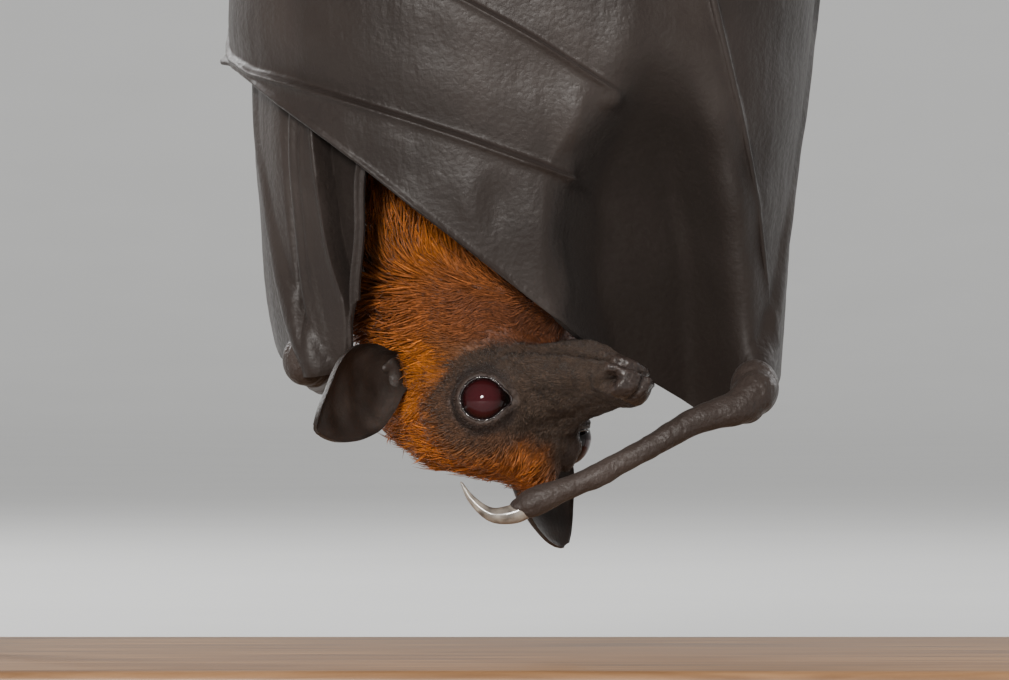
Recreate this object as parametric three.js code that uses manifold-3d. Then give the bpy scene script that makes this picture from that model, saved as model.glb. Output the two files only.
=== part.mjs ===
// A fruit bat of the flying fox kind, life size, hanging head down from a cut branch on a plain stand.
// Millimetres, +Z up, origin at the middle of the underside of the base. The bat's belly faces -Y,
// its right wing is at +X and wraps across the belly, and its head is turned towards +X.
import * as THREE from 'three';
import { mergeVertices } from 'three/addons/utils/BufferGeometryUtils.js';
import Module from 'manifold-3d';

const wasm = await Module();
wasm.setup();

// Driving sizes
const GAP = 0.3; // clearance between neighbouring pieces
const SKIN_THICKNESS = 1.6; // of the wing membranes and ears in these solids

// Stand and perch
const BASE = { wide: 252, deep: 164, thick: 10, corner: 14 };
const ROD = { x: 113, radius: 3.6, sunk: 6 };
const PERCH = { length: 238, radius: 9, y: 2, z: 315 };

// Head, in its own axes: F towards the nose, L towards the bat's left, U towards the crown
const HEAD_AT = new THREE.Vector3(0.4, -25, 55.8); // midway between the eyes
const HEAD_F = new THREE.Vector3(0.732, -0.675, 0.094).normalize();
const HEAD_L = new THREE.Vector3(-0.662, -0.674, 0.327).normalize();
const HEAD_U = new THREE.Vector3(-0.158, -0.302, -0.94).normalize();
const EYE = { radius: 5.6, f: -1, l: 11.2, u: -0.4 };
const EAR = { base: [-21.5, 14.2, -5.2], tip: [-19.8, 36.1, 12.1], width: 14.6, cup: 4.4 };

// Joints of the limbs
const SHOULDER = { x: 25, y: 16, z: 106 };
const ELBOW_HEIGHT = 196;
const WRIST_RIGHT = { x: 44.6, z: 62.5 };
const WRIST_LEFT = { x: -42.6, z: 66.5 };
const HIP = { x: 10, y: 9, z: 200 };
const KNEE = { x: 23, y: 19, z: 243 };
const ANKLE = { x: 14.5, y: 15.5, z: 299 };
const TOES = 5;

// How the folded wings wrap the body: the outline of the outer layer at some heights, each with its
// reach to the left and right (X), to the front and to the back (Y)
const WRAP_POWER = 2.4; // 2 is an ellipse, more is boxier
const WRAP = [
  { z: 54, left: -48, right: 49.5, front: -34, back: 22 },
  { z: 66, left: -51.2, right: 50.4, front: -38, back: 25 },
  { z: 82, left: -54, right: 51.4, front: -43, back: 28 },
  { z: 98, left: -55.2, right: 52.6, front: -46.5, back: 30 },
  { z: 124, left: -57.4, right: 55.4, front: -49, back: 31.5 },
  { z: 155, left: -58.6, right: 58.4, front: -49, back: 32 },
  { z: 190, left: -60, right: 61, front: -44, back: 31.5 },
  { z: 214, left: -54, right: 54.5, front: -37, back: 29.5 },
  { z: 238, left: -40, right: 40.5, front: -24, back: 26.5 },
  { z: 262, left: -25.6, right: 25.6, front: -9.5, back: 23.5 },
  { z: 290, left: -18.4, right: 18.4, front: -2.5, back: 20.5 },
];
const INNER_LAYER = -3.2; // the left wing lies this far inside the outline,
const COVERED_LAYER = -1.6; // and this much further where the right wing covers it

const smooth = (from, to, value) => THREE.MathUtils.smoothstep(value, from, to);
const radians = THREE.MathUtils.degToRad;

// A value read off a table by a smooth curve through its rows
function alongTable(table, at, read) {
  const row = at(table[0]) < at(table[1]) ? 1 : -1;
  return (where) => {
    let i = 0;
    while (i < table.length - 2 && row * (where - at(table[i + 1])) > 0) i += 1;
    const [a, b] = [table[i], table[i + 1]];
    const share = THREE.MathUtils.clamp((where - at(a)) / (at(b) - at(a)), 0, 1);
    const before = table[Math.max(i - 1, 0)];
    const after = table[Math.min(i + 2, table.length - 1)];
    const slopeA = ((read(b) - read(before)) / (at(b) - at(before))) * (at(b) - at(a));
    const slopeB = ((read(after) - read(a)) / (at(after) - at(a))) * (at(b) - at(a));
    const s2 = share * share;
    const s3 = s2 * share;
    return (2 * s3 - 3 * s2 + 1) * read(a) + (s3 - 2 * s2 + share) * slopeA
      + (-2 * s3 + 3 * s2) * read(b) + (s3 - s2) * slopeB;
  };
}
const wrapAt = {};
for (const side of ['left', 'right', 'front', 'back']) {
  wrapAt[side] = alongTable(WRAP, (row) => row.z, (row) => row[side]);
}

// Closed bodies

function solidOf(positions, triangles) {
  const at = (i) => new THREE.Vector3().fromArray(positions, 3 * i);
  let volume = 0;
  for (let i = 0; i < triangles.length; i += 3) {
    volume += at(triangles[i]).dot(at(triangles[i + 1]).cross(at(triangles[i + 2])));
  }
  const facing = [...triangles];
  if (volume < 0) facing.reverse();
  const mesh = new wasm.Mesh({
    numProp: 3,
    vertProperties: new Float32Array(positions),
    triVerts: new Uint32Array(facing),
  });
  return new wasm.Manifold(mesh);
}

function solidFromGeometry(geometry) {
  const bare = geometry.index ? geometry.toNonIndexed() : geometry.clone();
  bare.deleteAttribute('normal');
  bare.deleteAttribute('uv');
  const merged = mergeVertices(bare, 1e-4);
  return solidOf(Array.from(merged.attributes.position.array), Array.from(merged.index.array));
}

// A body through rings of points, closed by a fan at each end
function loft(rings) {
  const sides = rings[0].length;
  const positions = rings.flat().flatMap((p) => p.toArray());
  const triangles = [];
  for (let r = 0; r + 1 < rings.length; r += 1) {
    for (let s = 0; s < sides; s += 1) {
      const next = (s + 1) % sides;
      const [a, b] = [r * sides + s, r * sides + next];
      const [c, d] = [a + sides, b + sides];
      triangles.push(a, b, c, b, d, c);
    }
  }
  for (const [ring, turn] of [[0, false], [rings.length - 1, true]]) {
    const middle = new THREE.Vector3();
    for (const p of rings[ring]) middle.addScaledVector(p, 1 / sides);
    const hub = positions.length / 3;
    positions.push(...middle.toArray());
    for (let s = 0; s < sides; s += 1) {
      const [a, b] = [ring * sides + s, ring * sides + ((s + 1) % sides)];
      triangles.push(...(turn ? [a, b, hub] : [b, a, hub]));
    }
  }
  return solidOf(positions, triangles);
}

// A round or oval limb along stations { x, y, z, wide, deep }, where wide is measured along `across`
function limb(stations, { steps, sides, across = new THREE.Vector3(1, 0, 0), grow = 0 }) {
  const places = stations.map((s) => new THREE.Vector3(s.x, s.y, s.z));
  const path = new THREE.CatmullRomCurve3(places, false, 'centripetal');
  const rows = stations.map((s, i) => ({ t: i / (stations.length - 1), ...s, deep: s.deep ?? s.wide }));
  const wide = alongTable(rows, (row) => row.t, (row) => row.wide);
  const deep = alongTable(rows, (row) => row.t, (row) => row.deep);
  const rings = [];
  for (let i = 0; i <= steps; i += 1) {
    const t = i / steps;
    const along = path.getTangent(t);
    const centre = path.getPoint(t);
    if (i === 0) centre.addScaledVector(along, -grow);
    if (i === steps) centre.addScaledVector(along, grow);
    const side = across.clone().addScaledVector(along, -across.dot(along)).normalize();
    const up = new THREE.Vector3().crossVectors(along, side);
    const ring = [];
    for (let s = 0; s < sides; s += 1) {
      const turn = (2 * Math.PI * s) / sides;
      ring.push(centre.clone()
        .addScaledVector(side, (wide(t) + grow) * Math.cos(turn))
        .addScaledVector(up, (deep(t) + grow) * Math.sin(turn)));
    }
    rings.push(ring);
  }
  return loft(rings);
}

// A thin shell between the surfaces at(s, t, 0) and at(s, t, 1)
function shell(columns, rows, at) {
  const positions = [];
  const index = (c, r, side) => (side * (rows + 1) + r) * (columns + 1) + c;
  for (const side of [0, 1]) {
    for (let r = 0; r <= rows; r += 1) {
      for (let c = 0; c <= columns; c += 1) positions.push(...at(c / columns, r / rows, side).toArray());
    }
  }
  const triangles = [];
  const quad = (a, b, c, d) => triangles.push(a, b, c, a, c, d);
  for (let r = 0; r < rows; r += 1) {
    for (let c = 0; c < columns; c += 1) {
      quad(index(c, r, 0), index(c + 1, r, 0), index(c + 1, r + 1, 0), index(c, r + 1, 0));
      quad(index(c, r, 1), index(c, r + 1, 1), index(c + 1, r + 1, 1), index(c + 1, r, 1));
    }
    quad(index(0, r, 0), index(0, r + 1, 0), index(0, r + 1, 1), index(0, r, 1));
    quad(index(columns, r, 0), index(columns, r, 1), index(columns, r + 1, 1), index(columns, r + 1, 0));
  }
  for (let c = 0; c < columns; c += 1) {
    quad(index(c, 0, 0), index(c, 0, 1), index(c + 1, 0, 1), index(c + 1, 0, 0));
    quad(index(c, rows, 0), index(c + 1, rows, 0), index(c + 1, rows, 1), index(c, rows, 1));
  }
  return solidOf(positions, triangles);
}

const largest = (solid) => solid.decompose().sort((a, b) => b.volume() - a.volume())[0];
const cut = (solid, ...others) => largest(others.reduce((left, other) => left.subtract(other), solid));

// The wrap of the wings

const wrapShape = (value) => Math.sign(value) * Math.abs(value) ** (2 / WRAP_POWER);

// The outline at a height, by the angle from the back (0) over +X (90) and the front (180) to -X (270)
function wrapPoint(angle, z, layer) {
  const middleX = (wrapAt.left(z) + wrapAt.right(z)) / 2;
  const reachX = (wrapAt.right(z) - wrapAt.left(z)) / 2 + layer;
  const backwards = Math.cos(radians(angle));
  const reachY = (backwards < 0 ? -wrapAt.front(z) : wrapAt.back(z)) + layer;
  return new THREE.Vector3(
    middleX + reachX * wrapShape(Math.sin(radians(angle))),
    reachY * wrapShape(backwards),
    z,
  );
}

// The angle at which the wrap passes a place across it, on its front or its back
function wrapAngle(x, z, onFront) {
  const middleX = (wrapAt.left(z) + wrapAt.right(z)) / 2;
  const reachX = (wrapAt.right(z) - wrapAt.left(z)) / 2;
  const share = THREE.MathUtils.clamp((x - middleX) / reachX, -1, 1);
  const turn = THREE.MathUtils.radToDeg(Math.asin(Math.sign(share) * Math.abs(share) ** (WRAP_POWER / 2)));
  return onFront ? 180 - turn : (turn + 360) % 360;
}

// The long hand bone at the front right corner of the right wing, and the fold left of the hollow
const handBoneX = alongTable(
  [{ z: 62, x: 47.6 }, { z: 82, x: 46.6 }, { z: 104, x: 43.5 }, { z: 137, x: 35.6 }, { z: 160, x: 30.5 }],
  (row) => row.z,
  (row) => row.x,
);
const foldX = alongTable(
  [
    { z: 60, x: 12 }, { z: 72, x: 9 }, { z: 82, x: 6.4 }, { z: 103, x: 7.2 }, { z: 120, x: 15.4 },
    { z: 140, x: 20 },
  ],
  (row) => row.z,
  (row) => row.x,
);
const HOLLOW_DEPTH = 17;

// How far the right wing sinks in between the fold and the hand bone
function hollow(x, z) {
  const fold = foldX(z);
  const bone = handBoneX(z);
  const across = smooth(fold - 3, fold + 9, x) * (1 - smooth(bone - 17, bone - 2, x));
  return HOLLOW_DEPTH * across * (1 - smooth(98, 132, z));
}

function rightSheet(angle, z, layer = 0) {
  const point = wrapPoint(angle, z, layer);
  if (angle > 100 && angle < 250) point.y += hollow(point.x, z);
  return point;
}
function leftSheet(angle, z, layer = 0) {
  return wrapPoint(angle, z, INNER_LAYER + COVERED_LAYER * smooth(104, 128, z) + layer);
}

// Where the forearm runs round the wrap, from the wrist at the front to the elbow at the side
const ELBOW_ANGLE = 68;
const TIP_ANGLE = 305; // how far round the right wing's tip reaches
function forearmAngle(wrist, side) {
  const start = side > 0 ? wrapAngle(wrist.x, wrist.z, true) : 360 - wrapAngle(wrist.x, wrist.z, true);
  return (z) => {
    const share = THREE.MathUtils.clamp((z - wrist.z) / (ELBOW_HEIGHT - wrist.z), 0, 1);
    const angle = THREE.MathUtils.lerp(start, ELBOW_ANGLE, share ** 0.8);
    return side > 0 ? angle : 360 - angle;
  };
}
const forearmRight = forearmAngle(WRIST_RIGHT, 1);
const forearmLeft = forearmAngle(WRIST_LEFT, -1);

// The wing's root along the back, the thigh and the shin
const rootX = alongTable(
  [
    { z: 84, x: 17 }, { z: 104, x: 19 }, { z: 150, x: 21 }, { z: 200, x: 18 }, { z: 222, x: 19 },
    { z: 243, x: 23 }, { z: 275, x: 18 },
  ],
  (row) => row.z,
  (row) => row.x,
);
const rootAngle = (z, side) => wrapAngle(side * rootX(z), z, false);

// Free margins of the membranes. The right wing's lower edge falls from the belly's left side to a
// bend, on to its lowest reach by the wrist, and rises again round the back to the tip.
const MARGIN = { bendX: 10.6, bendZ: 71.8, lowest: 58, slope: 0.777, afterBend: 0.6 };
const BACK_MARGIN = { y: 6, z: 128, slope: 1.5 };
const LEFT_MARGIN = { x: -39, z: 64.5, slope: 0.3 };
const TOP_MARGIN = { z: 283, dip: 4, angleHeight: 250 };
function handMargin(point) {
  if (point.y > BACK_MARGIN.y) return BACK_MARGIN.z + BACK_MARGIN.slope * point.y;
  const beyond = point.x - MARGIN.bendX;
  if (beyond < 0) return MARGIN.bendZ - MARGIN.slope * beyond;
  return Math.max(MARGIN.bendZ - MARGIN.afterBend * beyond, MARGIN.lowest);
}
const leftHandMargin = (point) => LEFT_MARGIN.z + LEFT_MARGIN.slope * Math.max(point.x - LEFT_MARGIN.x, 0);
const topMargin = (angle) => TOP_MARGIN.z + TOP_MARGIN.dip * Math.cos(radians(angle));

// Solves for the height at which a margin crosses a column of the sheet
const MARGIN_SEARCH = [50, 240];
function marginHeight(sheetPoint, margin) {
  let [low, high] = MARGIN_SEARCH;
  for (let i = 0; i < 24; i += 1) {
    const middle = (low + high) / 2;
    if (middle < margin(sheetPoint(middle))) low = middle;
    else high = middle;
  }
  return (low + high) / 2;
}

// A membrane between two edges given as angles by height; its depth goes inwards from the sheet
const MIDDLE_Y = 4; // inwards is towards this
function membrane({ sheet, from, to, low, top, columns, rows, grow = 0 }) {
  const surface = (s, t) => {
    const angleAt = (z) => THREE.MathUtils.lerp(from(z), to(z), s);
    const column = (z) => sheet(angleAt(z), z);
    const ceiling = top(angleAt(TOP_MARGIN.angleHeight), s);
    return column(THREE.MathUtils.lerp(low(s, column), ceiling, t));
  };
  const step = 1e-3;
  return shell(columns, rows, (s, t, side) => {
    const [s0, t0] = [Math.min(s, 1 - step), Math.min(t, 1 - step)];
    const here = surface(s0, t0);
    const acrossSheet = surface(s0 + step, t0).sub(here);
    const upSheet = surface(s0, t0 + step).sub(here);
    const normal = acrossSheet.cross(upSheet).normalize();
    if (normal.dot(new THREE.Vector3(here.x, here.y - MIDDLE_Y, 0)) > 0) normal.negate();
    const depth = side === 0 ? -grow : SKIN_THICKNESS + grow;
    return surface(s, t).addScaledVector(normal, depth);
  });
}

// Limb paths that lie on the sheets

const ARM_DEPTH = 2.4; // of a forearm's axis under the face of its membrane

const FOREARM_RADII = [5, 3.6, 3.1, 3.4, 4.4, 4.9, 4.6];
const UPPER_ARM_RADII = [9.5, 7.6, 6.4, 5.4, 4.8];

function forearm(wing, grow = 0) {
  const stations = [];
  const count = FOREARM_RADII.length - 1;
  FOREARM_RADII.forEach((radius, i) => {
    const z = THREE.MathUtils.lerp(wing.wrist.z, ELBOW_HEIGHT, i / count);
    const p = wing.sheet(wing.forearmAngle(z), z, -ARM_DEPTH);
    stations.push({ x: p.x, y: p.y, z, wide: radius });
  });
  const [first, last] = [stations[0], stations[count]];
  stations.unshift({ x: first.x, y: first.y + 0.4, z: first.z - 4.4, wide: 3 });
  stations.push({ x: last.x, y: last.y, z: last.z + 4.6, wide: 2.6 });
  return limb(stations, { steps: 11, sides: 8, grow });
}

function upperArm({ sheet, side }, grow = 0) {
  const shoulderAngle = wrapAngle(side * SHOULDER.x, SHOULDER.z, false);
  const start = side > 0 ? shoulderAngle : shoulderAngle - 360;
  const stations = UPPER_ARM_RADII.map((radius, i) => {
    const share = i / (UPPER_ARM_RADII.length - 1);
    const z = THREE.MathUtils.lerp(SHOULDER.z, ELBOW_HEIGHT, share);
    const angle = THREE.MathUtils.lerp(start, side * ELBOW_ANGLE, share);
    const p = sheet(angle, z, -THREE.MathUtils.lerp(6, ARM_DEPTH, share));
    return { x: p.x, y: p.y, z, wide: radius };
  });
  return limb(stations, { steps: 6, sides: 8, grow });
}

// A small claw: a tapering hook along three or more points
function hook(points, radius, { grow = 0, steps = 6, sides = 6, across } = {}) {
  const stations = points.map(([x, y, z], i) => ({
    x, y, z, wide: radius * (1 - 0.86 * (i / (points.length - 1)) ** 1.6),
  }));
  return limb(stations, { steps, sides, across, grow });
}

// Head

const headPoint = (f, l, u) => HEAD_AT.clone()
  .addScaledVector(HEAD_F, f).addScaledVector(HEAD_L, l).addScaledVector(HEAD_U, u);

const HEAD_SECTIONS = [ // along F: half width, top and bottom, and how boxy
  { f: -36, wide: 8, top: 0, bottom: -13, power: 2 },
  { f: -33, wide: 12.6, top: 3.6, bottom: -15.6, power: 2 },
  { f: -26, wide: 16.6, top: 7.8, bottom: -17.5, power: 2.1 },
  { f: -17, wide: 17.8, top: 10.4, bottom: -18, power: 2.2 },
  { f: -8, wide: 17.2, top: 11.2, bottom: -17.2, power: 2.3 },
  { f: 0, wide: 14.6, top: 9, bottom: -16, power: 2.4 },
  { f: 7, wide: 11, top: 3.2, bottom: -14.6, power: 2.4 },
  { f: 15, wide: 8.4, top: 0.2, bottom: -12.8, power: 2.5 },
  { f: 22, wide: 7, top: -0.9, bottom: -11.4, power: 2.5 },
  { f: 27, wide: 5.4, top: -1.6, bottom: -10, power: 2.3 },
  { f: 29.4, wide: 2.8, top: -3.2, bottom: -7.8, power: 2 },
];

function headSolid(grow = 0) {
  const read = {};
  for (const key of ['wide', 'top', 'bottom', 'power']) {
    read[key] = alongTable(HEAD_SECTIONS, (row) => row.f, (row) => row[key]);
  }
  const stops = [-36, -34.4, -31, -25, -18, -11, -5, 0.5, 5, 10, 16, 22, 26.5, 29.4];
  const sides = 16;
  const rings = stops.map((f, i) => {
    const end = i === 0 ? -grow : (i === stops.length - 1 ? grow : 0);
    const middle = (read.top(f) + read.bottom(f)) / 2;
    const high = (read.top(f) - read.bottom(f)) / 2 + grow;
    const ring = [];
    for (let s = 0; s < sides; s += 1) {
      const turn = (2 * Math.PI * s) / sides;
      const bend = 2 / read.power(f);
      const l = (read.wide(f) + grow) * Math.sign(Math.cos(turn)) * Math.abs(Math.cos(turn)) ** bend;
      const u = high * Math.sign(Math.sin(turn)) * Math.abs(Math.sin(turn)) ** bend;
      ring.push(headPoint(f + end, l, middle + u));
    }
    return ring;
  });
  return loft(rings);
}

function eyeSolid(side, grow = 0) {
  const geometry = new THREE.SphereGeometry(EYE.radius + grow, 12, 8);
  const place = headPoint(EYE.f, side * EYE.l, EYE.u);
  geometry.translate(place.x, place.y, place.z);
  return solidFromGeometry(geometry);
}

// A pointed, cupped ear: t from root to tip, s across it
function earSolid(side, grow = 0) {
  const mirror = ([f, l, u]) => new THREE.Vector3(f, side * l, u);
  const root = mirror(EAR.base);
  const tip = mirror(EAR.tip);
  const along = tip.clone().sub(root);
  const length = along.length();
  along.normalize();
  const forward = new THREE.Vector3(1, 0, 0).addScaledVector(along, -along.x).normalize();
  const across = new THREE.Vector3().crossVectors(along, forward);
  const outline = alongTable(
    [
      { t: 0, w: 0.66 }, { t: 0.22, w: 0.96 }, { t: 0.42, w: 1 }, { t: 0.65, w: 0.82 },
      { t: 0.85, w: 0.45 }, { t: 1, w: 0.08 },
    ],
    (row) => row.t,
    (row) => row.w,
  );
  return shell(6, 7, (sAcross, t, face) => {
    const half = (EAR.width / 2) * outline(t);
    const place = Math.sin((2 * sAcross - 1) * 1.35) / Math.sin(1.35) * (half + grow);
    const cup = EAR.cup * outline(t) * (1 - 0.6 * t);
    const thick = (face === 0 ? 1 : -1) * (SKIN_THICKNESS / 2 + 1.6 * grow);
    const lengthways = t * length + (t === 1 ? grow : 0) - (t === 0 ? 3 + grow : 0);
    const p = root.clone()
      .addScaledVector(along, lengthways)
      .addScaledVector(across, place)
      .addScaledVector(forward, cup * ((place / half) ** 2 - 0.5) + thick);
    return headPoint(p.x, p.y, p.z);
  });
}

// Neck and trunk, with their coat

function neckSolid(grow = 0) {
  return limb([
    { x: 0, y: 1, z: 112, wide: 30, deep: 27 },
    { x: -4.5, y: -3, z: 97, wide: 30.5, deep: 27.5 },
    { x: -10, y: -7, z: 82, wide: 25, deep: 25 },
    { x: -16, y: -8, z: 67, wide: 19, deep: 19.5 },
    { x: -20, y: -8, z: 58, wide: 10, deep: 12 },
  ], { steps: 6, sides: 12, grow });
}

function trunkSolid(grow = 0) {
  return limb([
    { x: 0, y: 5, z: 96, wide: 20, deep: 18 },
    { x: 0, y: 5, z: 106, wide: 31, deep: 26 },
    { x: 0, y: 6, z: 126, wide: 34.5, deep: 28.5 },
    { x: 0, y: 8, z: 156, wide: 31, deep: 26 },
    { x: 0, y: 10, z: 188, wide: 26, deep: 22.5 },
    { x: 0, y: 11, z: 210, wide: 20, deep: 17 },
    { x: 0, y: 12, z: 222, wide: 10, deep: 8 },
  ], { steps: 8, sides: 12, grow });
}

// Legs and feet

function legSolid(side, grow = 0) {
  return limb([
    { x: side * HIP.x, y: HIP.y, z: HIP.z, wide: 8 },
    { x: side * (HIP.x + 8), y: HIP.y + 6, z: HIP.z + 22, wide: 7.4 },
    { x: side * KNEE.x, y: KNEE.y, z: KNEE.z, wide: 5.2 },
    { x: side * (KNEE.x - 3.4), y: KNEE.y - 0.6, z: KNEE.z + 20, wide: 4.4 },
    { x: side * (ANKLE.x + 0.6), y: ANKLE.y, z: ANKLE.z - 6, wide: 3 },
    { x: side * ANKLE.x, y: ANKLE.y, z: ANKLE.z, wide: 3 },
  ], { steps: 9, sides: 8, grow });
}

// A place on a toe: degrees round the perch from its back, up and over
function roundPerch(x, degrees, lift) {
  const reach = PERCH.radius + lift;
  return [x, PERCH.y + reach * Math.cos(radians(degrees)), PERCH.z + reach * Math.sin(radians(degrees))];
}

const toeX = (side, toe, spread) => side * ANKLE.x + (toe - (TOES - 1) / 2) * spread;
const stationAt = ([x, y, z], wide, deep) => ({ x, y, z, wide, deep });

function footSolid(side, grow = 0) {
  const x = side * ANKLE.x;
  let foot = limb([
    { x, y: ANKLE.y, z: ANKLE.z - 1, wide: 3.1, deep: 3 },
    { x, y: ANKLE.y + 0.4, z: ANKLE.z + 5, wide: 5, deep: 3 },
    { x, y: ANKLE.y + 0.2, z: PERCH.z - 4, wide: 6.2, deep: 2.5 },
    stationAt(roundPerch(x, 12, 3), 6.4, 2.1),
  ], { steps: 3, sides: 6, grow });
  for (let toe = 0; toe < TOES; toe += 1) {
    foot = foot.add(limb([
      stationAt(roundPerch(toeX(side, toe, 2.5), 4, 3), 1.7),
      stationAt(roundPerch(toeX(side, toe, 2.9), 38, 2.5), 1.6),
      stationAt(roundPerch(toeX(side, toe, 3.2), 72, 2.3), 1.75),
      stationAt(roundPerch(toeX(side, toe, 3.3), 104, 2.2), 1.5),
    ], { steps: 3, sides: 5, grow }));
  }
  return foot;
}

function toeClaw(side, toe, grow = 0) {
  const x = toeX(side, toe, 3.3);
  return hook([
    roundPerch(x, 100, 2.3), roundPerch(x, 122, 2.5), roundPerch(x, 142, 1.9), roundPerch(x, 160, 0.9),
  ], 1.25, { grow, steps: 4, sides: 5 });
}

// Thumbs

const THUMB_RIGHT = [
  { x: 41, y: -33.5, z: 58.6, wide: 3.6 },
  { x: 32, y: -36, z: 55.6, wide: 2.7 },
  { x: 24, y: -37.6, z: 51, wide: 2.3 },
  { x: 14.4, y: -38.4, z: 45.8, wide: 2.1 },
  { x: 6.6, y: -38.6, z: 42.4, wide: 2.6 },
  { x: 0.6, y: -38.4, z: 40, wide: 2.9 },
];
const THUMB_CLAW_RIGHT = [
  [1.4, -38.4, 40], [-3.6, -38.4, 37.6], [-8, -38.2, 38.9], [-10.6, -38, 41.4], [-12.2, -37.8, 44.1],
];
const THUMB_LEFT = [
  { x: -40, y: -18, z: 65.6, wide: 3.4 },
  { x: -40.6, y: -8, z: 64, wide: 2.7 },
  { x: -38.6, y: 2, z: 62.6, wide: 2.2 },
  { x: -32.6, y: 10.6, z: 61.4, wide: 2.1 },
  { x: -25, y: 15.6, z: 60.6, wide: 2.6 },
];
const THUMB_CLAW_LEFT = [
  [-25.8, 15.2, 60.6], [-20, 17.6, 61], [-15.6, 16.4, 63], [-14.2, 13.8, 65.4],
];

// Ridges of the finger bones on the right wing: places across and up its front
const ridgePoint = ([x, z], lift) => rightSheet(wrapAngle(x, z, true), z, lift);

function ridge(places, radii, grow) {
  const stations = places.map((place, i) => {
    const p = ridgePoint(place, 0.2);
    return { x: p.x, y: p.y, z: p.z, wide: radii[i] };
  });
  return limb(stations, { steps: places.length, sides: 5, grow });
}

// Colours and finishes
const material = (colour, roughness, metalness = 0) => new THREE.MeshStandardMaterial({
  color: new THREE.Color(colour), roughness, metalness,
});
const FINISH = {
  mantle: material('#9a5a1c', 0.8),
  back: material('#4a3424', 0.85),
  face: material('#7d6a58', 0.8),
  membrane: material('#4a423f', 0.5),
  ear: material('#3d3431', 0.55),
  eye: material('#3a1512', 0.08),
  claw: material('#57504b', 0.35),
  bark: material('#6a5541', 0.9),
  wood: material('#8d6f4f', 0.6),
  steel: material('#8d9092', 0.3, 0.9),
};

const bat = new THREE.Group();
function addPiece(name, solid, finish) {
  const mesh = solid.getMesh();
  const geometry = new THREE.BufferGeometry();
  const places = new Float32Array(mesh.vertProperties);
  geometry.setAttribute('position', new THREE.BufferAttribute(places, mesh.numProp));
  geometry.setIndex(new THREE.BufferAttribute(new Uint32Array(mesh.triVerts), 1));
  const piece = new THREE.Mesh(geometry, finish);
  piece.name = name;
  bat.add(piece);
}

function buildStand() {
  const { wide, deep, corner, thick } = BASE;
  const outline = new THREE.Shape();
  const [x, y] = [wide / 2 - corner, deep / 2 - corner];
  outline.absarc(x, y, corner, 0, Math.PI / 2);
  outline.absarc(-x, y, corner, Math.PI / 2, Math.PI);
  outline.absarc(-x, -y, corner, Math.PI, 1.5 * Math.PI);
  outline.absarc(x, -y, corner, 1.5 * Math.PI, 2 * Math.PI);
  const plate = new THREE.ExtrudeGeometry(outline, { depth: thick, bevelEnabled: false, curveSegments: 4 });
  addPiece('stand_base', solidFromGeometry(plate), FINISH.wood);

  const rodTop = PERCH.z - PERCH.radius + ROD.sunk;
  const rod = (side, grow) => {
    const height = rodTop - thick - GAP;
    const radius = ROD.radius + grow;
    const geometry = new THREE.CylinderGeometry(radius, radius, height + 2 * grow, 12);
    geometry.rotateX(Math.PI / 2);
    geometry.translate(side * ROD.x, PERCH.y, thick + GAP + height / 2);
    return solidFromGeometry(geometry);
  };
  addPiece('stand_rod_left', rod(-1, 0), FINISH.steel);
  addPiece('stand_rod_right', rod(1, 0), FINISH.steel);

  const stations = [];
  const lengths = 6;
  for (let i = 0; i <= lengths; i += 1) {
    const share = i / lengths;
    const swell = 1 + 0.05 * Math.cos(share * 9) * (Math.abs(share - 0.5) > 0.2 ? 1 : 0);
    stations.push({ x: (share - 0.5) * PERCH.length, y: PERCH.y, z: PERCH.z, wide: PERCH.radius * swell });
  }
  const branch = limb(stations, { steps: 7, sides: 12, across: new THREE.Vector3(0, 1, 0) });
  const twig = limb([
    { x: 72, y: PERCH.y, z: PERCH.z + 2, wide: 4.6 },
    { x: 77, y: PERCH.y - 1, z: PERCH.z + 12, wide: 3.4 },
    { x: 80, y: PERCH.y - 2, z: PERCH.z + 20, wide: 3 },
  ], { steps: 3, sides: 8 });
  addPiece('perch', cut(branch.add(twig), rod(-1, GAP), rod(1, GAP)), FINISH.bark);
}

function buildHead() {
  const pieces = [['left', 1], ['right', -1]];
  for (const [name, side] of pieces) {
    addPiece(`eye_${name}`, eyeSolid(side), FINISH.eye);
    addPiece(`ear_${name}`, cut(earSolid(side), headSolid(GAP)), FINISH.ear);
  }
  addPiece('head', cut(headSolid(), eyeSolid(1, GAP), eyeSolid(-1, GAP)), FINISH.face);
}

function buildBody() {
  const ears = [earSolid(1, GAP), earSolid(-1, GAP)];
  addPiece('neck', cut(neckSolid(), headSolid(GAP), ...ears), FINISH.mantle);
  addPiece('trunk', cut(trunkSolid(), neckSolid(GAP)), FINISH.back);
  for (const [name, side] of [['left', -1], ['right', 1]]) {
    addPiece(`leg_${name}`, cut(legSolid(side), trunkSolid(GAP)), FINISH.back);
    const claws = [];
    for (let toe = 0; toe < TOES; toe += 1) {
      addPiece(`claw_${name}_${toe + 1}`, toeClaw(side, toe), FINISH.claw);
      claws.push(toeClaw(side, toe, GAP));
    }
    addPiece(`foot_${name}`, cut(footSolid(side), legSolid(side, GAP), ...claws), FINISH.membrane);
  }
}

// The edge between the arm and hand membranes lies inside the forearm, and above the elbow along a slit
const EDGE_INSIDE = 2; // degrees
const EDGE_SLIT = -0.45;
const edgeShift = (z) => {
  const share = smooth(ELBOW_HEIGHT - 7, ELBOW_HEIGHT, z);
  return THREE.MathUtils.lerp(EDGE_INSIDE, EDGE_SLIT, share);
};

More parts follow.
